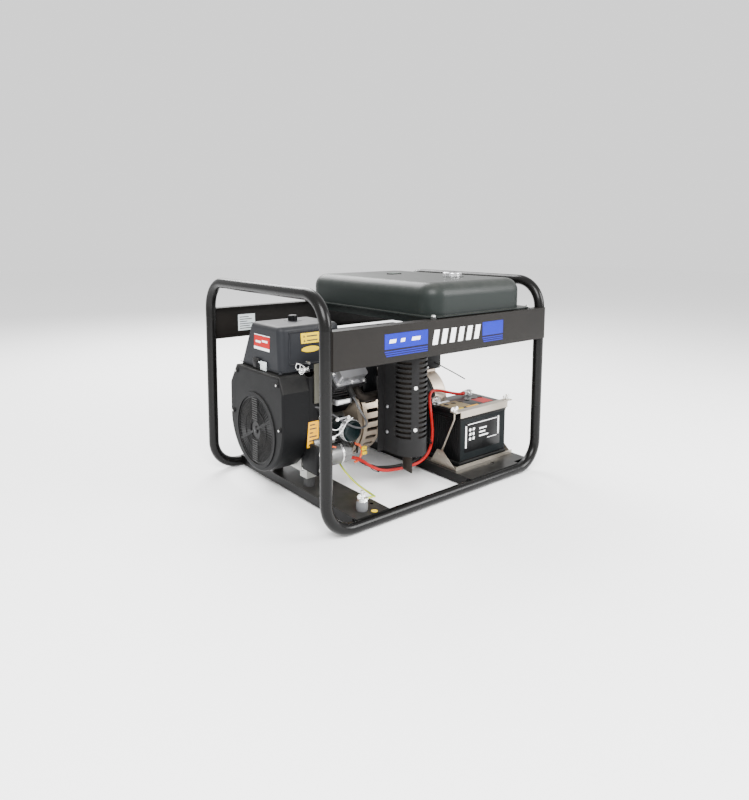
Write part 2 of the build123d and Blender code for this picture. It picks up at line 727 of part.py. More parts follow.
FRONT_PORT_Y = CRANK_Y - (FRONT_PORT + HEAD_OUT - 6) * COS45
FRONT_PORT_Z = CRANK_Z + (FRONT_PORT - HEAD_OUT + 6) * COS45
FRONT_PIPE_Z = FRONT_PORT_Z + (FRONT_PIPE_Y - FRONT_PORT_Y)
with BuildPart() as muffler:
    with Locations((MUFFLER_X, MUFFLER_Y, MUFFLER_Z[0])):
        Cylinder(MUFFLER_R, width(MUFFLER_Z), align=(Align.CENTER, Align.CENTER, Align.MIN))
    fillet(muffler.edges().filter_by(GeomType.CIRCLE), 10)
    exhaust_run(
        [
            (FRONT_PORT_X, FRONT_PORT_Y, FRONT_PORT_Z),
            (FRONT_PORT_X, FRONT_PIPE_Y, FRONT_PIPE_Z),
            (MUFFLER_X + 10, FRONT_PIPE_Y, FRONT_PIPE_Z),
            (MUFFLER_X + 10, MUFFLER_Y + 30, FRONT_PIPE_Z),
        ],
        20,
    )
    exhaust_run(
        [
            (BANK_X + HEAD_LEN / 2 - 8, BACK_PORT_Y, BACK_PIPE_Z),
            (BACK_PIPE_X, BACK_PORT_Y, BACK_PIPE_Z),
            (BACK_PIPE_X, MUFFLER_Y + 30, BACK_PIPE_Z),
        ],
        30,
    )
    with Locations((MUFFLER_X, MUFFLER_Y, MUFFLER_Z[0] + 3)):
        Cylinder(
            MUFFLER_R - 3,
            width(MUFFLER_Z) - 6,
            align=(Align.CENTER, Align.CENTER, Align.MIN),
            mode=Mode.SUBTRACT,
        )
    with Locations((TAIL_X, MUFFLER_Y, MUFFLER_Z[0] + 3)):
        Cylinder(TAIL_R, MUFFLER_Z[0] + 3 - TAIL_END, align=(Align.CENTER, Align.CENTER, Align.MAX))
    with Locations((TAIL_X, MUFFLER_Y, MUFFLER_Z[0] + 10)):
        Cylinder(
            TAIL_R - 2,
            MUFFLER_Z[0] + 10 - TAIL_END,
            align=(Align.CENTER, Align.CENTER, Align.MAX),
            mode=Mode.SUBTRACT,
        )
    with BuildSketch(Plane.XZ.offset(-MUFFLER_Y - 30)):
        with BuildLine():
            slash = 24.0
            Polyline(
                (TAIL_X - TAIL_R - 1, TAIL_END + slash),
                (TAIL_X + TAIL_R + 1, TAIL_END),
                (TAIL_X + TAIL_R + 1, TAIL_END - 5),
                (TAIL_X - TAIL_R - 1, TAIL_END - 5),
                close=True,
            )
        make_face()
    extrude(amount=60, mode=Mode.SUBTRACT)
    add(cylinder_heads.part, mode=Mode.SUBTRACT)
muffler.part.label = "muffler"
export_step(muffler.part, "parts/muffler.step")

WING = 25.0
SLOT_ARCS = ((-188, -128), (-102, -40))  # degrees round the guard from +X
with BuildPart() as muffler_guard:
    with BuildSketch(Plane.XY.offset(GUARD_Z[0])):
        with Locations((MUFFLER_X, MUFFLER_Y)):
            Circle(GUARD_R)
        with Locations((MUFFLER_X, middle((MUFFLER_Y, GUARD_BACK)))):
            Rectangle(2 * GUARD_R, GUARD_BACK - MUFFLER_Y)
        with Locations((MUFFLER_X - GUARD_R - WING / 2 + GUARD_T, GUARD_BACK - GUARD_T / 2)):
            Rectangle(WING, GUARD_T)
        with Locations((MUFFLER_X, MUFFLER_Y)):
            Circle(GUARD_R - GUARD_T, mode=Mode.SUBTRACT)
        with Locations((MUFFLER_X, middle((MUFFLER_Y, GUARD_BACK)) + 5)):
            Rectangle(2 * (GUARD_R - GUARD_T), GUARD_BACK - MUFFLER_Y + 10, mode=Mode.SUBTRACT)
    extrude(amount=width(GUARD_Z))
    for row in range(SLOT_COUNT):
        slot_z = GUARD_Z[0] + 55 + row * SLOT_PITCH
        with BuildSketch(Plane.XY.offset(slot_z)):
            for low, high in SLOT_ARCS:
                low_r, high_r = math.radians(low), math.radians(high)
                reach = 2 * GUARD_R
                with BuildLine():
                    Polyline(
                        (MUFFLER_X, MUFFLER_Y),
                        (MUFFLER_X + reach * math.cos(low_r), MUFFLER_Y + reach * math.sin(low_r)),
                        (MUFFLER_X + reach * math.cos(high_r), MUFFLER_Y + reach * math.sin(high_r)),
                        close=True,
                    )
                make_face()
        extrude(amount=SLOT_H, mode=Mode.SUBTRACT)
    # Four stand-offs reach in to the muffler body
    for stand_z in (GUARD_Z[0] + 42, GUARD_Z[1] - 42):
        for turn in (-115, -20):
            along = Vector(math.cos(math.radians(turn)), math.sin(math.radians(turn)), 0)
            foot = Vector(MUFFLER_X, MUFFLER_Y, stand_z) + along * MUFFLER_R
            with BuildSketch(Plane(origin=foot, z_dir=along)):
                Circle(4)
            extrude(amount=GUARD_R - MUFFLER_R - GUARD_T / 2)
    with Locations((MUFFLER_X, MUFFLER_Y, MUFFLER_Z[0])):
        Cylinder(
            MUFFLER_R,
            width(MUFFLER_Z),
            align=(Align.CENTER, Align.CENTER, Align.MIN),
            mode=Mode.SUBTRACT,
        )
muffler_guard.part.label = "muffler_guard"
export_step(muffler_guard.part, "parts/muffler_guard.step")

# ---------------------------------------------------------------- bell housing
BELL_START = CASE_X[1]
BELL_SLOTS = 28
with BuildPart() as bell_housing:
    with BuildSketch(Plane(origin=(0, CRANK_Y, CRANK_Z), x_dir=(1, 0, 0), z_dir=(0, -1, 0))):
        with BuildLine():
            Polyline(
                (BELL_START, 45),
                (BELL_START, 105),
                (BELL_START + 25, BELL_R),
                (BELL_START + 40, BELL_R),
                (BELL_START + 40, BELL_R - 7),
                (BELL_START + 52, BELL_R - 7),
                (BELL_START + 52, BELL_R - 2),
                (BELL_START + 67, BELL_R - 2),
                (BELL_START + 67, BELL_R - 10),
                (BELL_END, BELL_R - 10),
                (BELL_END, ALT_R - ALT_WALL),
                (BELL_END - 6, ALT_R - ALT_WALL),
                (BELL_END - 6, BELL_R - 18),
                (BELL_START + 30, BELL_R - 18),
                (BELL_START + 8, 92),
                (BELL_START + 8, 45),
                close=True,
            )
        make_face()
    revolve(axis=Axis((0, CRANK_Y, CRANK_Z), (1, 0, 0)))
    with BuildSketch(crank_plane(BELL_END - 58)):
        with PolarLocations(BELL_R - 14, BELL_SLOTS):
            Rectangle(24, 13)
    extrude(amount=46, mode=Mode.SUBTRACT)
bell_housing.part.label = "bell_housing"
export_step(bell_housing.part, "parts/bell_housing.step")

# ---------------------------------------------------------------- alternator
with BuildPart() as alternator_shell:
    with BuildSketch(crank_plane(BELL_END)):
        Circle(ALT_R)
        Circle(ALT_R - ALT_WALL, mode=Mode.SUBTRACT)
    extrude(amount=ALT_END - BELL_END)
alternator_shell.part.label = "alternator_shell"
export_step(alternator_shell.part, "parts/alternator_shell.step")

STACK_X = (10.0, 180.0)
with BuildPart() as stator:
    with BuildSketch(crank_plane(STACK_X[0])):
        Circle(ALT_R - ALT_WALL)
        Circle(ROTOR_R + AIR_GAP, mode=Mode.SUBTRACT)
    extrude(amount=width(STACK_X))
    for coil_x in (STACK_X[0] - 16, STACK_X[1]):
        with BuildSketch(crank_plane(coil_x)):
            Circle(ALT_R - ALT_WALL - 3)
            Circle(ROTOR_R + AIR_GAP + 3, mode=Mode.SUBTRACT)
        extrude(amount=16)
stator.part.label = "stator"
export_step(stator.part, "parts/stator.step")

with BuildPart() as rotor:
    with BuildSketch(crank_plane(COUPLING_X)):
        Circle(SHAFT_R)
    extrude(amount=BRACKET_END - 8 - COUPLING_X)
    with BuildSketch(crank_plane(STACK_X[0])):
        Circle(ROTOR_R)
        with PolarLocations(ROTOR_R, 4, start_angle=45):
            Rectangle(60, 24, mode=Mode.SUBTRACT)
    extrude(amount=width(STACK_X))
    with BuildSketch(crank_plane(COUPLING_X + 10)):
        Circle(100)
    extrude(amount=8)
    with BuildSketch(crank_plane(COUPLING_X + 18)):
        with PolarLocations(72, 14):
            Rectangle(60, 3)
    extrude(amount=30)
rotor.part.label = "rotor"
export_step(rotor.part, "parts/rotor.step")

with BuildPart() as rear_bracket:
    with BuildSketch(crank_plane(ALT_END)):
        Circle(ALT_R)
    extrude(amount=BRACKET_END - ALT_END)
    fillet(rear_bracket.faces().sort_by(Axis.X)[-1].edges(), 10)
    with BuildSketch(crank_plane(ALT_END)):
        Circle(ALT_R - 10)
    extrude(amount=BRACKET_END - ALT_END - 10, mode=Mode.SUBTRACT)
    with BuildSketch(crank_plane(ALT_END)):
        with PolarLocations(69, 12):
            Rectangle(44, 20)
    extrude(amount=BRACKET_END - ALT_END, mode=Mode.SUBTRACT)
    with BuildSketch(crank_plane(BRACKET_END - 10 - BEARING_W)):
        Circle(BEARING_R + 9)
    extrude(amount=BEARING_W)
    for foot_x, foot_y in ALT_FEET:
        with Locations((foot_x, foot_y, middle((MOUNT_TOP, MOUNT_TOP + 62)))):
            Box(40, 34, 62)
    with Locations((259, CRANK_Y, CRANK_Z + ALT_R - 6)):
        Box(56, 96, 16)
    with BuildSketch(crank_plane(ALT_END)):
        Circle(ALT_R - 10)
    extrude(amount=BRACKET_END - ALT_END - 26, mode=Mode.SUBTRACT)
    with BuildSketch(crank_plane(ALT_END)):
        Circle(BEARING_R)
    extrude(amount=BRACKET_END - ALT_END - 8, mode=Mode.SUBTRACT)
rear_bracket.part.label = "rear_bracket"
export_step(rear_bracket.part, "parts/rear_bracket.step")

TERMINAL_Z = CRANK_Z + ALT_R + 2
with BuildPart() as terminal_box:
    with Locations((259, CRANK_Y, TERMINAL_Z)):
        Box(76, 130, 108, align=(Align.CENTER, Align.CENTER, Align.MIN))
    fillet(terminal_box.edges().filter_by(Axis.Z), 8)
    with Locations((259, CRANK_Y, TERMINAL_Z + 3)):
        Box(70, 124, 102, align=(Align.CENTER, Align.CENTER, Align.MIN), mode=Mode.SUBTRACT)
    with Locations((259, CRANK_Y, TERMINAL_Z + 3)):
        Hole(12, depth=3)
terminal_box.part.label = "terminal_box"
export_step(terminal_box.part, "parts/terminal_box.step")

# ---------------------------------------------------------------- fuel tank
BODY_X = (TANK_X[0] + TANK_INSET, TANK_X[1] - TANK_INSET)
BODY_Y = TANK_Y - TANK_INSET
PAN_Y = FACE_Y - RAIL_LIP - 12
NECK_R = 24.0
TAP_X = -18.0
TAP_Y = -238.0
TAP_R = 9.0
PAN_Z = FLANGE_Z - PAN_DEPTH
LEVER_R = 4.0
with BuildPart() as fuel_tank:
    with BuildSketch(Plane.XY.offset(FLANGE_Z)):
        with Locations((middle(TANK_X), 0)):
            RectangleRounded(width(TANK_X), 2 * TANK_Y, 30)
        with Locations(*TANK_BOLTS):
            Circle(3.2, mode=Mode.SUBTRACT)
    extrude(amount=FLANGE_T)
    with BuildSketch(Plane.XY.offset(FLANGE_Z + FLANGE_T)):
        with Locations((middle(BODY_X), 0)):
            RectangleRounded(width(BODY_X), 2 * BODY_Y, 62)
    extrude(amount=TANK_H)
    fillet(fuel_tank.faces().sort_by(Axis.Z)[-1].edges(), TANK_EDGE)
    with BuildSketch(Plane.XY.offset(PAN_Z)):
        with Locations((middle(BODY_X), 0)):
            RectangleRounded(width(BODY_X) - 8, 2 * PAN_Y, 30)
    extrude(amount=PAN_DEPTH)
    with BuildSketch(Plane.XY.offset(PAN_Z + TANK_WALL)):
        with Locations((middle(BODY_X), 0)):
            RectangleRounded(width(BODY_X) - 14, 2 * PAN_Y - 6, 27)
    extrude(amount=PAN_DEPTH + FLANGE_T + TANK_H - TANK_EDGE, mode=Mode.SUBTRACT)
    with BuildSketch(Plane.XY.offset(TANK_TOP - TANK_EDGE)):
        with Locations((middle(BODY_X), 0)):
            RectangleRounded(width(BODY_X) - 40, 2 * BODY_Y - 50, 40)
    extrude(amount=TANK_EDGE - TANK_WALL, taper=18, mode=Mode.SUBTRACT)
    with Locations((CAP_X, CAP_Y, TANK_TOP - TANK_WALL)):
        Cylinder(NECK_R, 9, align=(Align.CENTER, Align.CENTER, Align.MIN))
    with Locations((CAP_X, CAP_Y, TANK_TOP + 10)):
        Hole(NECK_R - 3, depth=20)
    with Locations((TAP_X, TAP_Y, PAN_Z)):
        Cylinder(TAP_R, 32, align=(Align.CENTER, Align.CENTER, Align.MAX))
    with Locations(Plane(origin=(TAP_X, TAP_Y, PAN_Z - 16), z_dir=(0, -1, 0))):
        Hole(LEVER_R + FIT, depth=30)
fuel_tank.part.label = "fuel_tank"
export_step(fuel_tank.part, "parts/fuel_tank.step")

with BuildPart() as fuel_cap:
    with Locations((CAP_X, CAP_Y, TANK_TOP + GAP)):
        Cylinder(CAP_R, 15, align=(Align.CENTER, Align.CENTER, Align.MIN))
    fillet(fuel_cap.faces().sort_by(Axis.Z)[-1].edges(), 4)
    with BuildSketch(Plane.XY.offset(TANK_TOP + GAP)):
        with Locations((CAP_X, CAP_Y)):
            with PolarLocations(CAP_R + 1, 12):
                Circle(3)
    extrude(amount=15, mode=Mode.SUBTRACT)
    with Locations((CAP_X, CAP_Y, TANK_TOP + GAP)):
        Cylinder(NECK_R + 0.1, 8, align=(Align.CENTER, Align.CENTER, Align.MIN), mode=Mode.SUBTRACT)
fuel_cap.part.label = "fuel_cap"
export_step(fuel_cap.part, "parts/fuel_cap.step")

GAUGE = (176.0, 108.0)
with BuildPart() as fuel_gauge:
    with BuildSketch(Plane.XY.offset(TANK_TOP)):
        with Locations((GAUGE[0], GAUGE[1])):
            SlotOverall(64, 26)
    extrude(amount=3)
fuel_gauge.part.label = "fuel_gauge"
export_step(fuel_gauge.part, "parts/fuel_gauge.step")

with BuildPart() as tap_lever:
    with BuildSketch(Plane(origin=(TAP_X, TAP_Y - TAP_R - 8, PAN_Z - 16), x_dir=(1, 0, 0), z_dir=(0, 1, 0))):
        Circle(LEVER_R)
    extrude(amount=TAP_R + 12)
    with Locations((TAP_X + 10, TAP_Y - TAP_R - 6, PAN_Z - 16)):
        Box(34, 5, 9)
tap_lever.part.label = "tap_lever"
export_step(tap_lever.part, "parts/tap_lever.step")

# ---------------------------------------------------------------- battery, tray and clamp
POST_R = 9.0
NEGATIVE = (BATTERY_X + 40, BATTERY_BACK - 28)
POSITIVE = (BATTERY_END - 34, BATTERY_BACK - 28)
POSTS = (NEGATIVE, POSITIVE)
with BuildPart() as battery:
    with BuildSketch(Plane.XY.offset(BATTERY_BASE)):
        with Locations((middle((BATTERY_X, BATTERY_END)), middle((BATTERY_Y, BATTERY_BACK)))):
            RectangleRounded(BATTERY_SIZE[0], BATTERY_SIZE[1], 4)
    extrude(amount=BATTERY_SIZE[2])
    with Locations(*[(x, y, BATTERY_TOP) for x, y in POSTS]):
        Cylinder(POST_R, 18, align=(Align.CENTER, Align.CENTER, Align.MIN))
battery.part.label = "battery"
export_step(battery.part, "parts/battery.step")

CLAMP_Y = BATTERY_Y + 14
ROD_X = (BATTERY_X - 14, BATTERY_END + 14)
EAR_H = 52.0
HOOK_Z = 74.0
HOOK_Y = -172.0
with BuildPart() as battery_tray:
    with Locations((middle(TRAY_X), middle((BATTERY_Y - 6, BATTERY_BACK + 4)), DECK_Z + TRAY_T / 2)):
        Box(width(TRAY_X), BATTERY_SIZE[1] + 10, TRAY_T)
    with Locations((middle(TRAY_X), BATTERY_Y - 6 - TRAY_T / 2, DECK_Z)):
        Box(width(TRAY_X), TRAY_T, 12, align=(Align.CENTER, Align.CENTER, Align.MIN))
    for ear_x in (TRAY_X[0], TRAY_X[1] - TRAY_T):
        with BuildSketch(Plane.YZ.offset(ear_x)):
            with BuildLine():
                Polyline(
                    (BATTERY_Y - 6, DECK_Z),
                    (BATTERY_Y + 112, DECK_Z),
                    (BATTERY_Y + 80, DECK_Z + EAR_H),
                    (BATTERY_Y + 54, DECK_Z + EAR_H),
                    close=True,
                )
            make_face()
            with Locations((HOOK_Y, HOOK_Z)):
                Circle(ROD_R + 0.5, mode=Mode.SUBTRACT)
        extrude(amount=TRAY_T)
battery_tray.part.label = "battery_tray"
export_step(battery_tray.part, "parts/battery_tray.step")

BAR_TOP = BATTERY_TOP + 3
BAR_LEN = width(ROD_X) + 24
NUT_Z = BAR_TOP + GAP
with BuildPart() as battery_clamp:
    with Locations((middle(ROD_X), BATTERY_Y + 10, BATTERY_TOP + 1.5)):
        Box(BAR_LEN, 26, 3)
    with Locations((middle(ROD_X), BATTERY_Y - 1.5, BATTERY_TOP - 8.5)):
        Box(BATTERY_SIZE[0], 3, 23)
    with Locations(*[(x, CLAMP_Y, BAR_TOP) for x in ROD_X]):
        Hole(ROD_R, depth=3)
    for rod_x, hook in zip(ROD_X, (-1, 1)):
        with BuildLine() as rod_route:
            FilletPolyline(
                (rod_x, CLAMP_Y, BAR_TOP + 16),
                (rod_x, CLAMP_Y, BATTERY_TOP - 24),
                (rod_x, HOOK_Y, HOOK_Z),
                (rod_x + hook * 15, HOOK_Y, HOOK_Z),
                radius=6,
            )
        with BuildSketch(Plane(origin=rod_route.line @ 0, z_dir=rod_route.line % 0)):
            Circle(ROD_R)
        sweep()
battery_clamp.part.label = "battery_clamp"
export_step(battery_clamp.part, "parts/battery_clamp.step")


def wing_nut(x, y, z, bore):
    """Wing nut with two ears on a running fit over its stud."""
    with BuildPart() as nut:
        with Locations((x, y, z)):
            Cylinder(7, 8, align=(Align.CENTER, Align.CENTER, Align.MIN))
        for side in SIDES:
            with Locations(Plane(origin=(x + side * 10, y, z + 9), z_dir=(0, 1, 0))):
                Cylinder(7, 2.5)
        with Locations((x, y, z + 20)):
            Hole(bore + FIT, depth=22)
    return nut


battery_nut_left = wing_nut(ROD_X[0], CLAMP_Y, NUT_Z, ROD_R)
battery_nut_left.part.label = "battery_nut_left"
export_step(battery_nut_left.part, "parts/battery_nut_left.step")

battery_nut_right = wing_nut(ROD_X[1], CLAMP_Y, NUT_Z, ROD_R)
battery_nut_right.part.label = "battery_nut_right"
export_step(battery_nut_right.part, "parts/battery_nut_right.step")

CLAMP_Z = BATTERY_TOP + 3
LUG_LEN = 22.0
with BuildPart() as battery_terminals:
    for post_x, post_y in POSTS:
        with Locations((post_x, post_y, CLAMP_Z)):
            Cylinder(POST_R + 4, 12, align=(Align.CENTER, Align.CENTER, Align.MIN))
        with Locations((post_x - 18, post_y, CLAMP_Z + 6)):
            Box(LUG_LEN, 14, 14)
        with Locations((post_x, post_y, CLAMP_Z)):
            Cylinder(POST_R, 30, mode=Mode.SUBTRACT)
battery_terminals.part.label = "battery_terminals"
export_step(battery_terminals.part, "parts/battery_terminals.step")

# ---------------------------------------------------------------- control box and its panel
KNOB_PLACE = (150.0, 388.0)
KEY_PLACE = (10.0, 392.0)
BREAKER_PLACE = (10.0, 310.0)
MAINS_PLACES = [(250.0, 235.0), (315.0, 235.0)]
WELD_PLACES = [(-10.0, 165.0), (80.0, 165.0)]
DISPLAY_PLACE = (285.0, 392.0)
SPINDLE_R = 4.0
KEY_R = 5.0
WELD_R = 6.5
WELD_LEN = 34.0
with BuildPart() as control_box:
    with Locations((middle(BOX_X), middle((BOX_FRONT, BOX_BACK)), middle(BOX_Z))):
        Box(width(BOX_X), BOX_DEPTH, width(BOX_Z))
    with Locations((middle(BOX_X), middle((BOX_FRONT, BOX_BACK)) + BOX_T, middle(BOX_Z))):
        Box(width(BOX_X) - 2 * BOX_T, BOX_DEPTH, width(BOX_Z) - 2 * BOX_T, mode=Mode.SUBTRACT)
    for leg_x in (PLATE_X[0] + 20, BOX_X[1] - 12):
        with Locations((leg_x, middle((BOX_FRONT, BOX_BACK)), DECK_Z)):
            Box(4, 70, BOX_Z[0] - DECK_Z, align=(Align.CENTER, Align.CENTER, Align.MIN))
control_box.part.label = "control_box"
export_step(control_box.part, "parts/control_box.step")


def panel_plane(place, out):
    """Plane on the panel's face at (X, Z), a distance out; its own x is -X and its own y is Z."""
    return Plane(origin=(place[0], PANEL_FACE + out, place[1]), x_dir=(-1, 0, 0), z_dir=(0, 1, 0))


def panel_disc(place, out, radius, height, mode=Mode.ADD):
    """Round boss on the panel or, subtracted, a hole through what is there."""
    with BuildSketch(panel_plane(place, out)) as face:
        Circle(radius)
    extrude(face.sketch, amount=height, mode=mode)


def panel_block(place, out, wide, high, depth, mode=Mode.ADD):
    """Block on the panel, centred at a place."""
    with BuildSketch(panel_plane(place, out)) as face:
        Rectangle(wide, high)
    extrude(face.sketch, amount=depth, mode=mode)


MAINS_R = 24.0
BREAKER_SIZE = (38.0, 50.0)
DISPLAY_SIZE = (92.0, 50.0)
with BuildPart() as control_panel:
    with Locations((middle(BOX_X), BOX_BACK + PANEL_T / 2, middle(BOX_Z))):
        Box(width(BOX_X), PANEL_T, width(BOX_Z))
    panel_block(DISPLAY_PLACE, 0, *DISPLAY_SIZE, 5)
    panel_block(BREAKER_PLACE, 0, *BREAKER_SIZE, 8)
    panel_disc(KEY_PLACE, 0, 13, 5)
    panel_block(BREAKER_PLACE, -PANEL_T, 12, 24, PANEL_T + 8, Mode.SUBTRACT)
    panel_disc(KEY_PLACE, -PANEL_T, KEY_R + FIT, PANEL_T + 6, Mode.SUBTRACT)
    panel_disc(KNOB_PLACE, -PANEL_T, SPINDLE_R + FIT, PANEL_T + 1, Mode.SUBTRACT)
    for place in MAINS_PLACES:
        panel_disc(place, -PANEL_T, MAINS_R - 4, PANEL_T + 1, Mode.SUBTRACT)
    for place in WELD_PLACES:
        panel_disc(place, -PANEL_T, WELD_R + 5, PANEL_T + 1, Mode.SUBTRACT)
control_panel.part.label = "control_panel"
export_step(control_panel.part, "parts/control_panel.step")

HINGE_Z = MAINS_PLACES[0][1] + 33
HINGE_OUT = 16.0
HINGE_R = 2.5
LID_W = 112.0
with BuildPart() as panel_sockets:
    for place in MAINS_PLACES:
        panel_block(place, 0, 56, 56, 10)
        panel_disc(place, -30, MAINS_R - 4, 34)
        panel_disc(place, -24, MAINS_R - 6, 40, Mode.SUBTRACT)
    for place in WELD_PLACES:
        panel_disc(place, 0, 19, 14)
        panel_disc(place, -WELD_LEN + 10, WELD_R + 5, WELD_LEN + 4)
        panel_disc(place, -WELD_LEN + 14, WELD_R, WELD_LEN + 4, Mode.SUBTRACT)
    hinge_mid = middle((MAINS_PLACES[0][0], MAINS_PLACES[1][0]))
    for side in SIDES:
        with Locations((hinge_mid + side * (LID_W / 2 + 4), PANEL_FACE + HINGE_OUT / 2 + 1.5, HINGE_Z)):
            Box(6, HINGE_OUT + 3, 7)
    pin_at = (hinge_mid - LID_W / 2 - 5, PANEL_FACE + HINGE_OUT, HINGE_Z)
    with BuildSketch(Plane(origin=pin_at, z_dir=(1, 0, 0))):
        Circle(HINGE_R)
    extrude(amount=LID_W + 10)
    panel_block((hinge_mid, HINGE_Z - 4), 0, LID_W, 5, 6)
panel_sockets.part.label = "panel_sockets"
export_step(panel_sockets.part, "parts/panel_sockets.step")

with BuildPart() as socket_lid:
    with BuildSketch(Plane(origin=(hinge_mid - LID_W / 2, PANEL_FACE + HINGE_OUT, HINGE_Z), z_dir=(1, 0, 0))):
        Circle(HINGE_R + 2.5)
    extrude(amount=LID_W)
    with Locations((hinge_mid, PANEL_FACE + 10 + GAP, HINGE_Z - 3)):
        Box(LID_W, 3, 60, align=(Align.CENTER, Align.MIN, Align.MAX))
    with Locations((hinge_mid, PANEL_FACE + 12, HINGE_Z)):
        Box(LID_W, 5, 6)
    with BuildSketch(Plane(origin=(hinge_mid - LID_W / 2, PANEL_FACE + HINGE_OUT, HINGE_Z), z_dir=(1, 0, 0))):
        Circle(HINGE_R + FIT)
    extrude(amount=LID_W, mode=Mode.SUBTRACT)
socket_lid.part.label = "socket_lid"
export_step(socket_lid.part, "parts/socket_lid.step")

with BuildPart() as current_knob:
    panel_disc(KNOB_PLACE, GAP, 26, 18)
    fillet(current_knob.faces().sort_by(Axis.Y)[-1].edges(), 3)
    panel_block(KNOB_PLACE, 18, 8, 44, 6)
    panel_disc(KNOB_PLACE, -14, SPINDLE_R, 20)
current_knob.part.label = "current_knob"
export_step(current_knob.part, "parts/current_knob.step")

with BuildPart() as ignition_key:
    panel_disc(KEY_PLACE, -12, KEY_R, 20)
    panel_block(KEY_PLACE, 8, 3, 22, 22)
ignition_key.part.label = "ignition_key"
export_step(ignition_key.part, "parts/ignition_key.step")

with BuildPart() as breaker_lever:
    with BuildSketch(Plane(origin=(BREAKER_PLACE[0] - 5.6, PANEL_FACE, BREAKER_PLACE[1]), z_dir=(1, 0, 0))):
        Circle(6)
    extrude(amount=11.2)
    with Locations((BREAKER_PLACE[0], PANEL_FACE, BREAKER_PLACE[1])):
        Box(9, 20, 6, align=(Align.CENTER, Align.MIN, Align.CENTER))
breaker_lever.part.label = "breaker_lever"
export_step(breaker_lever.part, "parts/breaker_lever.step")

# ---------------------------------------------------------------- screws, bolts and the earth stud
STUD = (-300.0, -292.0)
STUD_R = 4.0
PUCK_H = 28.0
LUG_T = 5.0  # cable lug under the wing nut
GROUND_X = -200.0  # face of the cable lug bolted to the crankcase
GROUND_Z = 107.0
SCREW_H = 5.0
HOUSING_SCREWS = [
    (HOUSING_Y[0] + 28, HOUSING_TOP - 22),
    (HOUSING_Y[1] - 48, HOUSING_TOP - 18),
    (HOUSING_Y[1] - 22, 250),
    (HOUSING_Y[0] + 16, 250),
]
with BuildPart() as fasteners:
    for bolt_x, bolt_y in TANK_BOLTS:
        with Locations((bolt_x, bolt_y, FLANGE_Z + FLANGE_T)):
            Cylinder(6, SCREW_H, align=(Align.CENTER, Align.CENTER, Align.MIN))
        with Locations((bolt_x, bolt_y, RAIL_TOP)):
            Cylinder(3, PAD_T + FLANGE_T + 1, align=(Align.CENTER, Align.CENTER, Align.MIN))
    for screw_y, screw_z in HOUSING_SCREWS:
        with BuildSketch(Plane(origin=(HOUSING_X[0], screw_y, screw_z), z_dir=(-1, 0, 0))):
            RegularPolygon(6, 6)
        extrude(amount=4)
    for screw_z in (GUARD_Z[0] + 84, GUARD_Z[1] - 114):
        along = Vector(math.cos(math.radians(-115)), math.sin(math.radians(-115)), 0)
        screw_at = Vector(MUFFLER_X, MUFFLER_Y, screw_z) + along * (GUARD_R - 0.4)
        with BuildSketch(Plane(origin=screw_at, z_dir=along)):
            Circle(5.5)
        extrude(amount=4)
    with Locations((STUD[0], STUD[1], DECK_Z)):
        Cylinder(15, PUCK_H, align=(Align.CENTER, Align.CENTER, Align.MIN))
    with Locations((STUD[0], STUD[1], DECK_Z + PUCK_H)):
        Cylinder(STUD_R, 30, align=(Align.CENTER, Align.CENTER, Align.MIN))
    with Locations((STUD[0], STUD[1], DECK_Z + PUCK_H)):
        Cylinder(9, LUG_T, align=(Align.CENTER, Align.CENTER, Align.MIN))
    with Locations((STUD[0] + 12, STUD[1], DECK_Z + PUCK_H)):
        Box(14, 9, LUG_T, align=(Align.CENTER, Align.CENTER, Align.MIN))
    with Locations((GROUND_X - 8, CASE_Y[0] - 8, GROUND_Z)):
        Box(16, 16, 12)
    add(muffler_guard.part, mode=Mode.SUBTRACT)
fasteners.part.label = "fasteners"
export_step(fasteners.part, "parts/fasteners.step")

earth_nut = wing_nut(STUD[0], STUD[1], DECK_Z + PUCK_H + LUG_T + GAP, STUD_R)
earth_nut.part.label = "earth_nut"
export_step(earth_nut.part, "parts/earth_nut.step")

# ---------------------------------------------------------------- cables
LUG_X = [post_x - 18 - LUG_LEN / 2 for post_x, _ in POSTS]
LUG_Z = CLAMP_Z + 6
RED_ROUTE = [
    (STARTER_END, STARTER_Y - 8, STARTER_Z - 24),
    (STARTER_END + 24, STARTER_Y - 8, STARTER_Z - 24),
    (-160, -121, 102),
    (-126, -126, 74),
    (-82, -132, 52),
    (-28, -146, 50),
    (28, -151, 50),
    (80, -152, 58),
    (113, -153, 88),
    (124, -153, 142),
    (124, -146, 194),
    (129, -132, 236),
    (148, -110, 264),
    (184, -88, 270),
    (228, -75, 262),
    (272, -78, 249),
    (300, -88, 241),
    (320, POSTS[1][1], LUG_Z),
    (LUG_X[1], POSTS[1][1], LUG_Z),
]
red_cable = cord(RED_ROUTE, RED_D, "red_cable")
red_cable.part.label = "red_cable"
export_step(red_cable.part, "parts/red_cable.step")

BLACK_ROUTE = [
    (GROUND_X, CASE_Y[0] - 8, GROUND_Z),
    (GROUND_X + 20, CASE_Y[0] - 8, GROUND_Z),
    (-150, -82, 95),
    (-120, -90, 71),
    (-78, -102, 52),
    (-20, -122, 50),
    (40, -131, 50),
    (82, -133, 60),
    (104, -134, 92),
    (109, -132, 146),
    (108, -121, 192),
    (114, -108, 222),
    (130, -98, 236),
    (150, POSTS[0][1], LUG_Z),
    (LUG_X[0], POSTS[0][1], LUG_Z),
]
black_cable = cord(BLACK_ROUTE, BLACK_D, "black_cable")
black_cable.part.label = "black_cable"
export_step(black_cable.part, "parts/black_cable.step")

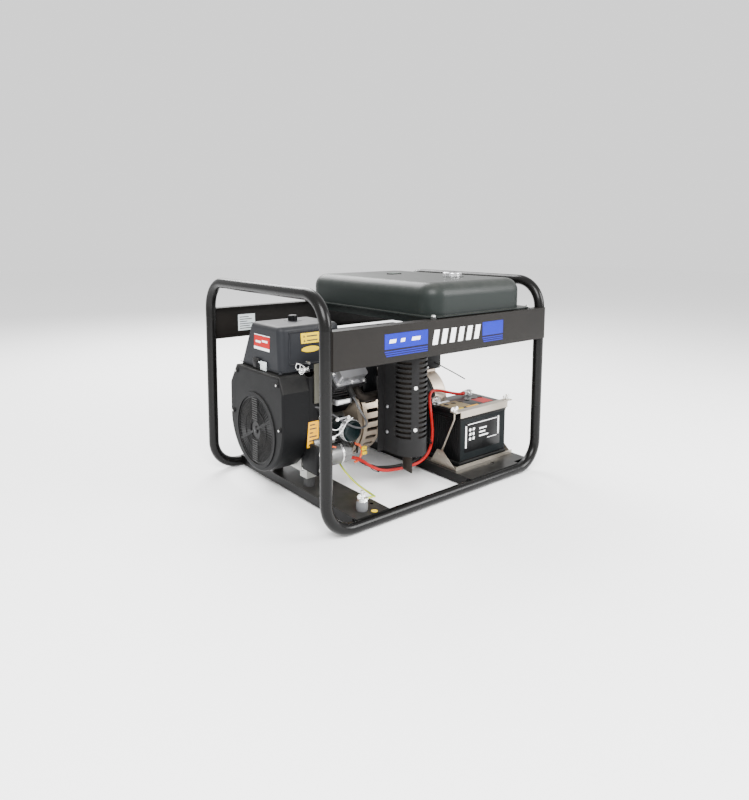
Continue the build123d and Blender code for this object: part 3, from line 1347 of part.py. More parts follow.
EARTH_ROUTE = [
    (-228, CASE_Y[0], CASE_BOTTOM + 4),
    (-228, CASE_Y[0] - 20, CASE_BOTTOM + 4),
    (-227, -108, 86),
    (-223, -136, 68),
    (-218, -170, 52),
    (-214, -208, 44),
    (-220, -246, 44),
    (-236, -274, 54),
    (-258, STUD[1], DECK_Z + PUCK_H + LUG_T / 2),
    (STUD[0] + 19, STUD[1], DECK_Z + PUCK_H + LUG_T / 2),
]
earth_wire = cord(EARTH_ROUTE, EARTH_D, "earth_wire")
earth_wire.part.label = "earth_wire"
export_step(earth_wire.part, "parts/earth_wire.step")

plug_end = plug_plane(-1, PLUG_LEN).origin
LEAD_ROUTE = [
    (plug_end.X, plug_end.Y, plug_end.Z),
    (plug_end.X, plug_end.Y - 14, plug_end.Z - 14),
    (-243, -214, 298),
    (-222, -213, 270),
    (-204, -198, 244),
    (-206, -174, 229),
    (-228, -159, 234),
    (-256, -150, 252),
    (-286, -137, 277),
    (-314, -121, 298),
    (-338, -110, 305),
    (HOUSING_X[1], -110, 305),
]
ignition_lead = cord(LEAD_ROUTE, LEAD_D, "ignition_lead")
ignition_lead.part.label = "ignition_lead"
export_step(ignition_lead.part, "parts/ignition_lead.step")
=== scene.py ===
"""Engine driven welder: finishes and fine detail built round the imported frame.

Lengths are in metres. X runs right along the battery side, Y to the back, Z up.
"""

import json
import logging
import math
from dataclasses import dataclass, field
from enum import Enum
from typing import ClassVar, Iterable, Sequence

import bmesh
import bpy
from mathutils import Euler, Matrix, Vector

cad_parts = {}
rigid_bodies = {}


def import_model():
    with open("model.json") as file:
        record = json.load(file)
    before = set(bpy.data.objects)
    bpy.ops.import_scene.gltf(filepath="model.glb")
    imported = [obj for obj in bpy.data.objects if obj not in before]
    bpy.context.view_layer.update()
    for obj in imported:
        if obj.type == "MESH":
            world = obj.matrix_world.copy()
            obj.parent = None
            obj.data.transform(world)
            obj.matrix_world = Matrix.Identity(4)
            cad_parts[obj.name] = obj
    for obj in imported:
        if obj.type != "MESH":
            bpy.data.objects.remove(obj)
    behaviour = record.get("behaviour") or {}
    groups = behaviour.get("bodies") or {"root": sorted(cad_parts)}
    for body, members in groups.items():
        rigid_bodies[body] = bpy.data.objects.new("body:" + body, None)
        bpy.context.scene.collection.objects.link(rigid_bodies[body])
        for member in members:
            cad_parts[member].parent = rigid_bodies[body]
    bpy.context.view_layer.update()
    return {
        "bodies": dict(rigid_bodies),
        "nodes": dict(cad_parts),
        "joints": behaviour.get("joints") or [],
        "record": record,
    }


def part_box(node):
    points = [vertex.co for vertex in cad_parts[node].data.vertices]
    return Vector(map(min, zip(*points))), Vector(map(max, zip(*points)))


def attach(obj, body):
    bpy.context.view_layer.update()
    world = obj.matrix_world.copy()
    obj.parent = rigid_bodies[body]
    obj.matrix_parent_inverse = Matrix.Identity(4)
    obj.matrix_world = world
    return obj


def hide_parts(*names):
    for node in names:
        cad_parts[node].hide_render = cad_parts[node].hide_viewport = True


LOG = logging.getLogger("welder")
Color = tuple[float, float, float]
MM = 0.001
SHAFT_YZ = (45.0, 217.0)  # line of the crankshaft and the rotor, in millimetres
UP, FRONT, BACK = Vector((0, 0, 1)), Vector((0, -1, 0)), Vector((0, 1, 0))
LEFT, RIGHT = Vector((-1, 0, 0)), Vector((1, 0, 0))


def mm(x: float, y: float, z: float) -> Vector:
    """Point or size in metres from millimetres."""
    return Vector((x, y, z)) * MM


def spaced(start: float, step: float, count: int) -> list[float]:
    """Angles in radians, from a start and a step in degrees."""
    return [math.radians(start + step * k) for k in range(count)]


def turned_to(way: Vector) -> Euler:
    """Rotation that carries Z to a direction."""
    return UP.rotation_difference(way).to_euler()


# ---------------------------------------------------------------- shader groups
class Coverage(Enum):
    """How strongly an effect shows on a finish."""

    NONE = 0.0
    FAINT = 0.12
    LIGHT = 0.3


class ShaderGroups:
    """Effects that several finishes share, each built once as a node group."""

    def __init__(self) -> None:
        """Builds the two groups."""
        self.grain = self._grain()
        self.dust = self._dust()

    @staticmethod
    def _new(name: str, inputs: dict[str, str], outputs: dict[str, str]) -> tuple:
        """Empty shader group with named sockets.

        Args:
            name: the group's name.
            inputs: socket name to socket type.
            outputs: socket name to socket type.

        Returns:
            The tree, its input node and its output node.
        """
        tree = bpy.data.node_groups.new(name, "ShaderNodeTree")
        for label, kind in inputs.items():
            tree.interface.new_socket(name=label, in_out="INPUT", socket_type=kind)
        for label, kind in outputs.items():
            tree.interface.new_socket(name=label, in_out="OUTPUT", socket_type=kind)
        return tree, tree.nodes.new("NodeGroupInput"), tree.nodes.new("NodeGroupOutput")

    @staticmethod
    def _math(tree: bpy.types.NodeTree, operation: str, first: object, second: object) -> object:
        """Math node in a tree; a number or a socket feeds each side."""
        node = tree.nodes.new("ShaderNodeMath")
        node.operation = operation
        for socket, value in zip(node.inputs, (first, second)):
            if isinstance(value, (int, float)):
                socket.default_value = value
            else:
                tree.links.new(value, socket)
        return node.outputs[0]

    @staticmethod
    def _mix(tree: bpy.types.NodeTree, factor: object, first: object, second: object) -> object:
        """Colour mix node fed by three sockets."""
        node = tree.nodes.new("ShaderNodeMix")
        node.data_type = "RGBA"
        tree.links.new(factor, node.inputs["Factor"])
        tree.links.new(first, node.inputs[6])
        tree.links.new(second, node.inputs[7])
        return node.outputs[2]

    @staticmethod
    def _noise(tree: bpy.types.NodeTree, scale: object, detail: float = 5.0) -> object:
        """Noise on object coordinates."""
        place = tree.nodes.new("ShaderNodeTexCoord")
        node = tree.nodes.new("ShaderNodeTexNoise")
        node.inputs["Detail"].default_value = detail
        tree.links.new(place.outputs["Object"], node.inputs["Vector"])
        if isinstance(scale, (int, float)):
            node.inputs["Scale"].default_value = scale
        else:
            tree.links.new(scale, node.inputs["Scale"])
        return node.outputs["Fac"]

    def _grain(self) -> bpy.types.NodeTree:
        """Mottled colour, uneven roughness and a fine height from two noises."""
        tree, start, end = self._new(
            "surface_grain",
            {
                "Base": "NodeSocketColor",
                "Tint": "NodeSocketColor",
                "Mottle Scale": "NodeSocketFloat",
                "Grain Scale": "NodeSocketFloat",
                "Amount": "NodeSocketFloat",
                "Roughness": "NodeSocketFloat",
            },
            {"Color": "NodeSocketColor", "Roughness": "NodeSocketFloat", "Height": "NodeSocketFloat"},
        )
        mottle = self._noise(tree, start.outputs["Mottle Scale"])
        fine = self._noise(tree, start.outputs["Grain Scale"], 3.0)
        factor = self._math(tree, "MULTIPLY", mottle, start.outputs["Amount"])
        color = self._mix(tree, factor, start.outputs["Base"], start.outputs["Tint"])
        swing = self._math(tree, "MULTIPLY", self._math(tree, "SUBTRACT", mottle, 0.5), 0.35)
        factor = self._math(tree, "ADD", swing, 1.0)
        rough = self._math(tree, "MULTIPLY", start.outputs["Roughness"], factor)
        tree.links.new(color, end.inputs["Color"])
        tree.links.new(rough, end.inputs["Roughness"])
        tree.links.new(fine, end.inputs["Height"])
        return tree

    def _dust(self) -> bpy.types.NodeTree:
        """Pale film on faces that look up, broken by noise."""
        tree, start, end = self._new(
            "dust_film",
            {"Color": "NodeSocketColor", "Dust": "NodeSocketColor", "Amount": "NodeSocketFloat"},
            {"Color": "NodeSocketColor"},
        )
        facing = tree.nodes.new("ShaderNodeNewGeometry")
        split = tree.nodes.new("ShaderNodeSeparateXYZ")
        tree.links.new(facing.outputs["Normal"], split.inputs[0])
        up = self._math(tree, "MAXIMUM", split.outputs["Z"], 0.0)
        cloud = self._noise(tree, 34.0, 6.0)
        mask = self._math(tree, "MULTIPLY", self._math(tree, "MULTIPLY", up, cloud), start.outputs["Amount"])
        color = self._mix(tree, mask, start.outputs["Color"], start.outputs["Dust"])
        tree.links.new(color, end.inputs["Color"])
        return tree


# ---------------------------------------------------------------- finishes
@dataclass(frozen=True)
class Finish:
    """One surface finish: colours, gloss, grain and dust, and the record's slot it belongs to."""

    name: str
    slot: str
    base: Color
    tint: Color
    rough: float
    metal: float = 0.0
    coat: float = 0.0
    mottle: float = 18.0
    grain: float = 900.0
    bump: float = 0.08
    depth: float = 0.0004
    amount: float = 0.8
    dust: Coverage = Coverage.FAINT
    dust_color: Color = (0.26, 0.25, 0.23)
    specular: float = 0.5
    coat_rough: float = 0.12

    def material(self, groups: ShaderGroups) -> bpy.types.Material:
        """Material made of the shared groups and a Principled shader.

        Args:
            groups: the shared shader groups.

        Returns:
            The material, built the first time that it is asked for.
        """
        name = f"{self.name}_finish"
        known = bpy.data.materials.get(name)
        if known:
            return known
        made = bpy.data.materials.new(name)
        made.use_nodes = True
        tree = made.node_tree
        shader = tree.nodes["Principled BSDF"]
        grain = self._place(tree, groups.grain)
        dust = self._place(tree, groups.dust)
        grain.inputs["Base"].default_value = (*self.base, 1)
        grain.inputs["Tint"].default_value = (*self.tint, 1)
        grain.inputs["Mottle Scale"].default_value = self.mottle
        grain.inputs["Grain Scale"].default_value = self.grain
        grain.inputs["Amount"].default_value = self.amount
        grain.inputs["Roughness"].default_value = self.rough
        dust.inputs["Dust"].default_value = (*self.dust_color, 1)
        dust.inputs["Amount"].default_value = self.dust.value
        tree.links.new(self.colour(tree, grain), dust.inputs["Color"])
        tree.links.new(dust.outputs["Color"], shader.inputs["Base Color"])
        tree.links.new(grain.outputs["Roughness"], shader.inputs["Roughness"])
        relief = tree.nodes.new("ShaderNodeBump")
        relief.inputs["Strength"].default_value = self.bump
        relief.inputs["Distance"].default_value = self.depth
        tree.links.new(grain.outputs["Height"], relief.inputs["Height"])
        tree.links.new(relief.outputs["Normal"], shader.inputs["Normal"])
        shader.inputs["Metallic"].default_value = self.metal
        shader.inputs["Coat Weight"].default_value = self.coat
        shader.inputs["Coat Roughness"].default_value = self.coat_rough
        shader.inputs["Specular IOR Level"].default_value = self.specular
        return made

    def colour(self, tree: bpy.types.NodeTree, grain: bpy.types.Node) -> bpy.types.NodeSocket:
        """Colour that goes under the dust; a striped finish puts its own over it."""
        return grain.outputs["Color"]

    @staticmethod
    def _place(tree: bpy.types.NodeTree, group: bpy.types.NodeTree) -> bpy.types.Node:
        """Puts a shared group in a material."""
        node = tree.nodes.new("ShaderNodeGroup")
        node.node_tree = group
        return node


@dataclass(frozen=True)
class StripedFinish(Finish):
    """A sheath with a second colour in one stripe along its length, read from the piece's own UV map."""

    stripe: Color = (0.02, 0.25, 0.05)
    share: float = 0.22

    def colour(self, tree: bpy.types.NodeTree, grain: bpy.types.Node) -> bpy.types.NodeSocket:
        """Mixes the stripe over the grain's colour."""
        place = tree.nodes.new("ShaderNodeTexCoord")
        split = tree.nodes.new("ShaderNodeSeparateXYZ")
        tree.links.new(place.outputs["UV"], split.inputs[0])
        band = tree.nodes.new("ShaderNodeMath")
        band.operation = "LESS_THAN"
        band.inputs[1].default_value = self.share
        tree.links.new(split.outputs["Y"], band.inputs[0])
        mix = tree.nodes.new("ShaderNodeMix")
        mix.data_type = "RGBA"
        mix.inputs[7].default_value = (*self.stripe, 1)
        tree.links.new(band.outputs[0], mix.inputs["Factor"])
        tree.links.new(grain.outputs["Color"], mix.inputs[6])
        return mix.outputs[2]


def painted(name: str, slot: str, base: Color, tint: Color, rough: float, **more: object) -> Finish:
    """Paint or powder coat with a thin clear coat."""
    return Finish(name, slot, base, tint, rough, coat=0.03, **more)


def metal(name: str, slot: str, base: Color, tint: Color, rough: float, **more: object) -> Finish:
    """Bare or plated metal."""
    return Finish(name, slot, base, tint, rough, metal=0.9, **more)


def plain(name: str, slot: str, base: Color, rough: float = 0.5, **more: object) -> Finish:
    """Plastic, rubber or label with a slight mottle."""
    tint = tuple(min(1.0, part * 1.4 + 0.001) for part in base)
    return Finish(name, slot, base, tint, rough, **more)


@dataclass(frozen=True)
class Finishes:
    """Every finish on the welder."""

    tube: Finish = painted(
        "tube_black", "gloss_black_paint", (0.0022, 0.0022, 0.0022), (0.0045, 0.0043, 0.0040), 0.27,
        grain=420.0, bump=0.10, mottle=9.0, dust=Coverage.NONE, specular=0.15,
    )
    rail: Finish = painted(
        "rail_black", "satin_black_paint", (0.0050, 0.0044, 0.0040), (0.0100, 0.0084, 0.0070), 0.42,
        grain=520.0, bump=0.10, mottle=7.0, dust=Coverage.NONE, specular=0.11,
    )
    plate: Finish = painted(
        "plate_black", "satin_black_paint", (0.0025, 0.0025, 0.0025), (0.0055, 0.0050, 0.0048), 0.30,
        specular=0.12,
    )
    shroud: Finish = painted(
        "shroud_black", "satin_black_paint", (0.0026, 0.0028, 0.0032), (0.0050, 0.0052, 0.0058), 0.4,
        specular=0.07,
    )
    olive: Finish = painted(
        "intake_olive", "satin_black_paint", (0.030, 0.028, 0.018), (0.045, 0.042, 0.027),
        0.5,
    )
    rubber: Finish = plain(
        "rubber_black", "black_rubber", (0.018, 0.018, 0.018), 0.75,
        grain=600.0, bump=0.3,
    )
    puck: Finish = plain("puck_grey", "black_rubber", (0.075, 0.076, 0.08), 0.7, grain=600.0, bump=0.3)
    casting: Finish = metal(
        "cast_silver", "cast_aluminium", (0.42, 0.42, 0.40), (0.20, 0.20, 0.19), 0.46,
        grain=260.0, bump=0.6, depth=0.0006, mottle=40.0, dust=Coverage.LIGHT,
    )
    head: Finish = metal(
        "head_dark", "cast_aluminium", (0.055, 0.055, 0.058), (0.025, 0.025, 0.026), 0.5,
        grain=300.0, bump=0.5, mottle=50.0,
    )
    rocker: Finish = metal(
        "rocker_bright", "rocker_aluminium", (0.30, 0.30, 0.31), (0.18, 0.18, 0.19), 0.34,
        bump=0.2,
    )
    bell: Finish = metal(
        "bell_warm", "warm_aluminium", (0.34, 0.28, 0.215), (0.20, 0.165, 0.13), 0.42,
        grain=280.0, bump=0.45, depth=0.0005, mottle=30.0, dust=Coverage.LIGHT,
    )
    bracket: Finish = metal(
        "bracket_tan", "warm_aluminium", (0.62, 0.52, 0.42), (0.5, 0.42, 0.34), 0.45,
        bump=0.3,
    )
    moulded: Finish = plain(
        "moulded_black", "black_moulding", (0.0030, 0.0031, 0.0034), 0.46,
        grain=700.0, bump=0.26, depth=0.0005, specular=0.08,
    )
    grille: Finish = plain(
        "grille_black", "black_moulding", (0.0022, 0.0022, 0.0024), 0.34,
        grain=700.0, bump=0.2, specular=0.11,
    )
    cover: Finish = plain(
        "cover_grey", "black_moulding", (0.0085, 0.0092, 0.0112), 0.42,
        grain=620.0, bump=0.32, depth=0.0005, specular=0.12,
    )
    knob: Finish = plain(
        "knob_black", "knob_black", (0.003, 0.003, 0.0034), 0.4,
        bump=0.2, specular=0.12,
    )
    paper: Finish = plain("filter_paper", "filter_paper", (0.72, 0.58, 0.33), 0.9, bump=0.4)
    starter: Finish = metal(
        "starter_cast", "starter_black", (0.24, 0.24, 0.235), (0.10, 0.10, 0.10), 0.42,
        mottle=45.0, bump=0.4,
    )
    enamel: Finish = painted(
        "filter_enamel", "filter_enamel", (0.001, 0.007, 0.008), (0.002, 0.004, 0.004), 0.25,
        specular=0.17,
    )
    guard: Finish = painted(
        "guard_grey", "guard_black", (0.0075, 0.0075, 0.0078), (0.0125, 0.0120, 0.0120), 0.55,
        grain=380.0, bump=0.3, dust=Coverage.NONE, specular=0.09,
    )
    exhaust: Finish = metal(
        "exhaust_stained", "exhaust_steel", (0.010, 0.009, 0.008), (0.030, 0.022, 0.017), 0.55,
        bump=0.3,
    )
    steel: Finish = metal("ground_steel", "ground_steel", (0.6, 0.6, 0.61), (0.45, 0.45, 0.46), 0.25)
    iron: Finish = metal(
        "cast_iron", "cast_iron", (0.10, 0.10, 0.105), (0.05, 0.05, 0.05), 0.6,
        bump=0.6,
    )
    core: Finish = metal(
        "lamination_brown", "lamination_steel", (0.20, 0.14, 0.11), (0.1, 0.08, 0.07),
        0.5,
    )
    tank: Finish = painted(
        "tank_green_grey", "tank_paint", (0.0060, 0.0086, 0.0078), (0.0095, 0.0128, 0.0115), 0.42,
        mottle=5.0, grain=480.0, bump=0.14, specular=0.15,
    )
    chrome: Finish = metal(
        "cap_bright", "cap_zinc", (0.82, 0.82, 0.83), (0.7, 0.7, 0.71), 0.16,
        bump=0.05,
    )
    zinc: Finish = metal(
        "zinc_bright", "zinc_plate", (0.80, 0.80, 0.79), (0.62, 0.62, 0.60), 0.27,
        mottle=60.0,
    )
    tray: Finish = metal(
        "tray_zinc", "tray_zinc", (0.34, 0.30, 0.245), (0.46, 0.42, 0.36), 0.38,
        mottle=35.0, bump=0.15,
    )
    case: Finish = plain(
        "battery_case", "battery_case", (0.0022, 0.0023, 0.0025), 0.3,
        grain=500.0, bump=0.12, specular=0.10,
    )
    ribbed: Finish = plain(
        "battery_ribs", "battery_case", (0.0065, 0.0085, 0.0092), 0.38,
        grain=500.0, bump=0.12, specular=0.10,
    )
    lead: Finish = metal(
        "post_lead", "zinc_plate", (0.38, 0.38, 0.39), (0.25, 0.25, 0.26), 0.5,
        mottle=80.0, bump=0.3,
    )
    red: Finish = plain("sheath_red", "red_pvc", (0.30, 0.004, 0.004), 0.38, bump=0.05, specular=0.15)
    black: Finish = plain(
        "sheath_black", "black_pvc", (0.003, 0.003, 0.003), 0.36,
        bump=0.05, specular=0.12,
    )
    orange: Finish = plain("sheath_orange", "red_pvc", (0.55, 0.06, 0.005), 0.4, bump=0.05)
    earth: Finish = StripedFinish(
        "sheath_yellow_green", "earth_pvc", (0.48, 0.50, 0.0), (0.56, 0.58, 0.01), 0.38, bump=0.05,
    )
    grey: Finish = plain("sheath_grey", "grey_silicone", (0.030, 0.030, 0.032), 0.45, bump=0.1)
    panel: Finish = painted("panel_grey", "panel_grey", (0.16, 0.165, 0.17), (0.2, 0.2, 0.205), 0.45)
    socket: Finish = plain("socket_blue", "socket_plastic", (0.03, 0.08, 0.30), 0.35, bump=0.1)
    white: Finish = plain("label_white", "satin_black_paint", (0.80, 0.80, 0.80), 0.4, bump=0.03)
    silver: Finish = plain("label_silver", "satin_black_paint", (0.50, 0.54, 0.55), 0.35, bump=0.03)
    blue: Finish = plain(
        "label_blue", "satin_black_paint", (0.007, 0.011, 0.24), 0.45,
        bump=0.03, specular=0.07,
    )
    crimson: Finish = plain(
        "label_red", "black_moulding", (0.30, 0.003, 0.004), 0.4,
        bump=0.03, specular=0.10,
    )
    yellow: Finish = plain(
        "label_yellow", "black_moulding", (0.56, 0.38, 0.0), 0.4,
        bump=0.03, specular=0.10,
    )
    amber: Finish = plain(
        "label_amber", "black_moulding", (0.56, 0.27, 0.0), 0.4,
        bump=0.03, specular=0.10,
    )
    tan: Finish = plain(
        "label_tan", "battery_case", (0.16, 0.12, 0.055), 0.45,
        bump=0.03, specular=0.10,
    )
    ink: Finish = plain("label_ink", "black_moulding", (0.012, 0.012, 0.012), 0.5, bump=0.03)
    screen: Finish = plain("display_green", "panel_grey", (0.03, 0.10, 0.05), 0.12, bump=0.0)



GROUPS: list[ShaderGroups] = []
KIT = Finishes()


def dress(node: bpy.types.Object, finish: Finish) -> None:
    """Gives an object one finish in all its material slots."""
    made = finish.material(GROUPS[0])
    if not node.material_slots:
        node.data.materials.append(made)
    for holder in node.material_slots:
        holder.material = made


# ---------------------------------------------------------------- mesh tools
class Shape:
    """A mesh in the making, in place in the row frame."""

    def __init__(self) -> None:
        """Starts with nothing."""
        self.bm = bmesh.new()

    def block(self, low: Vector, high: Vector, bevel: float = 0.0, steps: int = 2) -> "Shape":
        """Adds a box between two corners, its edges rounded by bevel."""
        made = bmesh.ops.create_cube(self.bm, size=1.0)["verts"]
        size = high - low
        for vert in made:
            vert.co = low + Vector((vert.co[i] + 0.5) * size[i] for i in range(3))
        if bevel:
            edges = list({edge for vert in made for edge in vert.link_edges})
            bmesh.ops.bevel(self.bm, geom=edges, offset=bevel, segments=steps, affect="EDGES", profile=0.5)
        return self

    def slab(self, corners: Sequence[Vector], out: Vector) -> "Shape":
        """Adds a closed plate from its corners in order, as thick as out is long."""
        low = [self.bm.verts.new(corner) for corner in corners]
        high = [self.bm.verts.new(corner + out) for corner in corners]
        self.bm.faces.new(high)
        self.bm.faces.new(low[::-1])
        for i in range(len(low)):
            after = (i + 1) % len(low)
            self.bm.faces.new((low[i], low[after], high[after], high[i]))
        return self

    def rod(self, start: Vector, end: Vector, radius: float, end_radius: float | None = None,
            sides: int = 28, bevel: float = 0.0) -> "Shape":
        """Adds a round bar or a cone between two points."""
        along = end - start
        turn = along.to_track_quat("Z", "Y").to_matrix().to_4x4()
        made = bmesh.ops.create_cone(
            self.bm, cap_ends=True, segments=sides, radius1=radius,
            radius2=radius if end_radius is None else end_radius, depth=along.length,
            matrix=Matrix.Translation((start + end) / 2) @ turn,
        )["verts"]
        if bevel:
            rims = {e for v in made for e in v.link_edges if any(len(f.verts) > 4 for f in e.link_faces)}
            bmesh.ops.bevel(self.bm, geom=list(rims), offset=bevel, segments=2, affect="EDGES", profile=0.5)
        return self

    def lathe(self, origin: Vector, axis: Vector, profile: Sequence[tuple[float, float]],
              sides: int = 48) -> "Shape":
        """Adds a turned solid; the profile is (distance along the axis, radius) and closes on itself."""
        turn = axis.to_track_quat("Z", "Y")
        rings = []
        for along, radius in profile:
            ring = []
            for i in range(sides):
                angle = 2 * math.pi * i / sides
                local = Vector((radius * math.cos(angle), radius * math.sin(angle), along))
                ring.append(self.bm.verts.new(origin + turn @ local))
            rings.append(ring)
        for a, b in zip(rings, rings[1:] + rings[:1]):
            for i in range(sides):
                after = (i + 1) % sides
                self.bm.faces.new((a[i], a[after], b[after], b[i]))
        return self

    def sweep(self, points: Sequence[Vector], radius: float, sides: int = 10, smooth: int = 5) -> "Shape":
        """Adds a round wire through the points, smoothed between them."""
        line = smoothed(points, smooth)
        normal = None
        rings = []
        for i, point in enumerate(line):
            ahead = (line[min(i + 1, len(line) - 1)] - line[max(i - 1, 0)]).normalized()
            if normal is None:
                normal = ahead.orthogonal().normalized()
            normal = (normal - ahead * normal.dot(ahead)).normalized()
            side = ahead.cross(normal)
            ring = []
            for k in range(sides):
                angle = 2 * math.pi * k / sides
                way = normal * math.cos(angle) + side * math.sin(angle)
                ring.append(self.bm.verts.new(point + way * radius))
            rings.append(ring)
        for a, b in zip(rings, rings[1:]):
            for k in range(sides):
                after = (k + 1) % sides
                self.bm.faces.new((a[k], a[after], b[after], b[k]))
        self.bm.faces.new(rings[0][::-1])
        self.bm.faces.new(rings[-1])
        return self

    def finished(self, name: str, finish: Finish, body: str = "frame", stands_for: Iterable[str] = (),
                 angle: float = 35.0) -> bpy.types.Object:
        """Turns the mesh into a piece that rides on a body.

        Args:
            name: the piece's name.
            finish: what it is dressed in.
            body: the CAD body it moves with.
            stands_for: CAD nodes that it replaces.
            angle: edges sharper than this many degrees stay sharp.

        Returns:
            The new object.
        """
        bmesh.ops.recalc_face_normals(self.bm, faces=self.bm.faces)
        mesh = bpy.data.meshes.new(name)
        self.bm.to_mesh(mesh)
        self.bm.free()
        return as_piece(name, mesh, finish, body, stands_for, angle)


def smoothed(points: Sequence[Vector], steps: int) -> list[Vector]:
    """Catmull-Rom line through the points."""
    if steps < 2 or len(points) < 3:
        return list(points)
    ends = [points[0] * 2 - points[1], *points, points[-1] * 2 - points[-2]]
    line = []
    for a, b, c, d in zip(ends, ends[1:], ends[2:], ends[3:]):
        for step in range(steps):
            t = step / steps
            line.append(0.5 * (2 * b + (c - a) * t + (2 * a - 5 * b + 4 * c - d) * t * t
                               + (3 * b - a - 3 * c + d) * t ** 3))
    line.append(points[-1])
    return line


def as_piece(name: str, mesh: bpy.types.Mesh, finish: Finish, body: str = "frame",
             stands_for: Iterable[str] = (), angle: float = 35.0) -> bpy.types.Object:
    """Links a mesh, dresses it and makes it ride on a body."""
    made = bpy.data.objects.new(name, mesh)
    bpy.context.scene.collection.objects.link(made)
    mesh.shade_smooth()
    mesh.set_sharp_from_angle(angle=math.radians(angle))
    made.data.materials.clear()
    dress(made, finish)
    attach(made, body)
    nodes = list(stands_for)
    if nodes:
        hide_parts(*nodes)
    LOG.info("%s: %d faces on %s", name, len(mesh.polygons), body)
    return made


# ---------------------------------------------------------------- repeated things
class Spread(Enum):
    """The ways that a repeated item is laid out."""

    POINTS = "items_on_points"
    RING = "items_in_a_ring"
    ROW = "items_in_a_row"


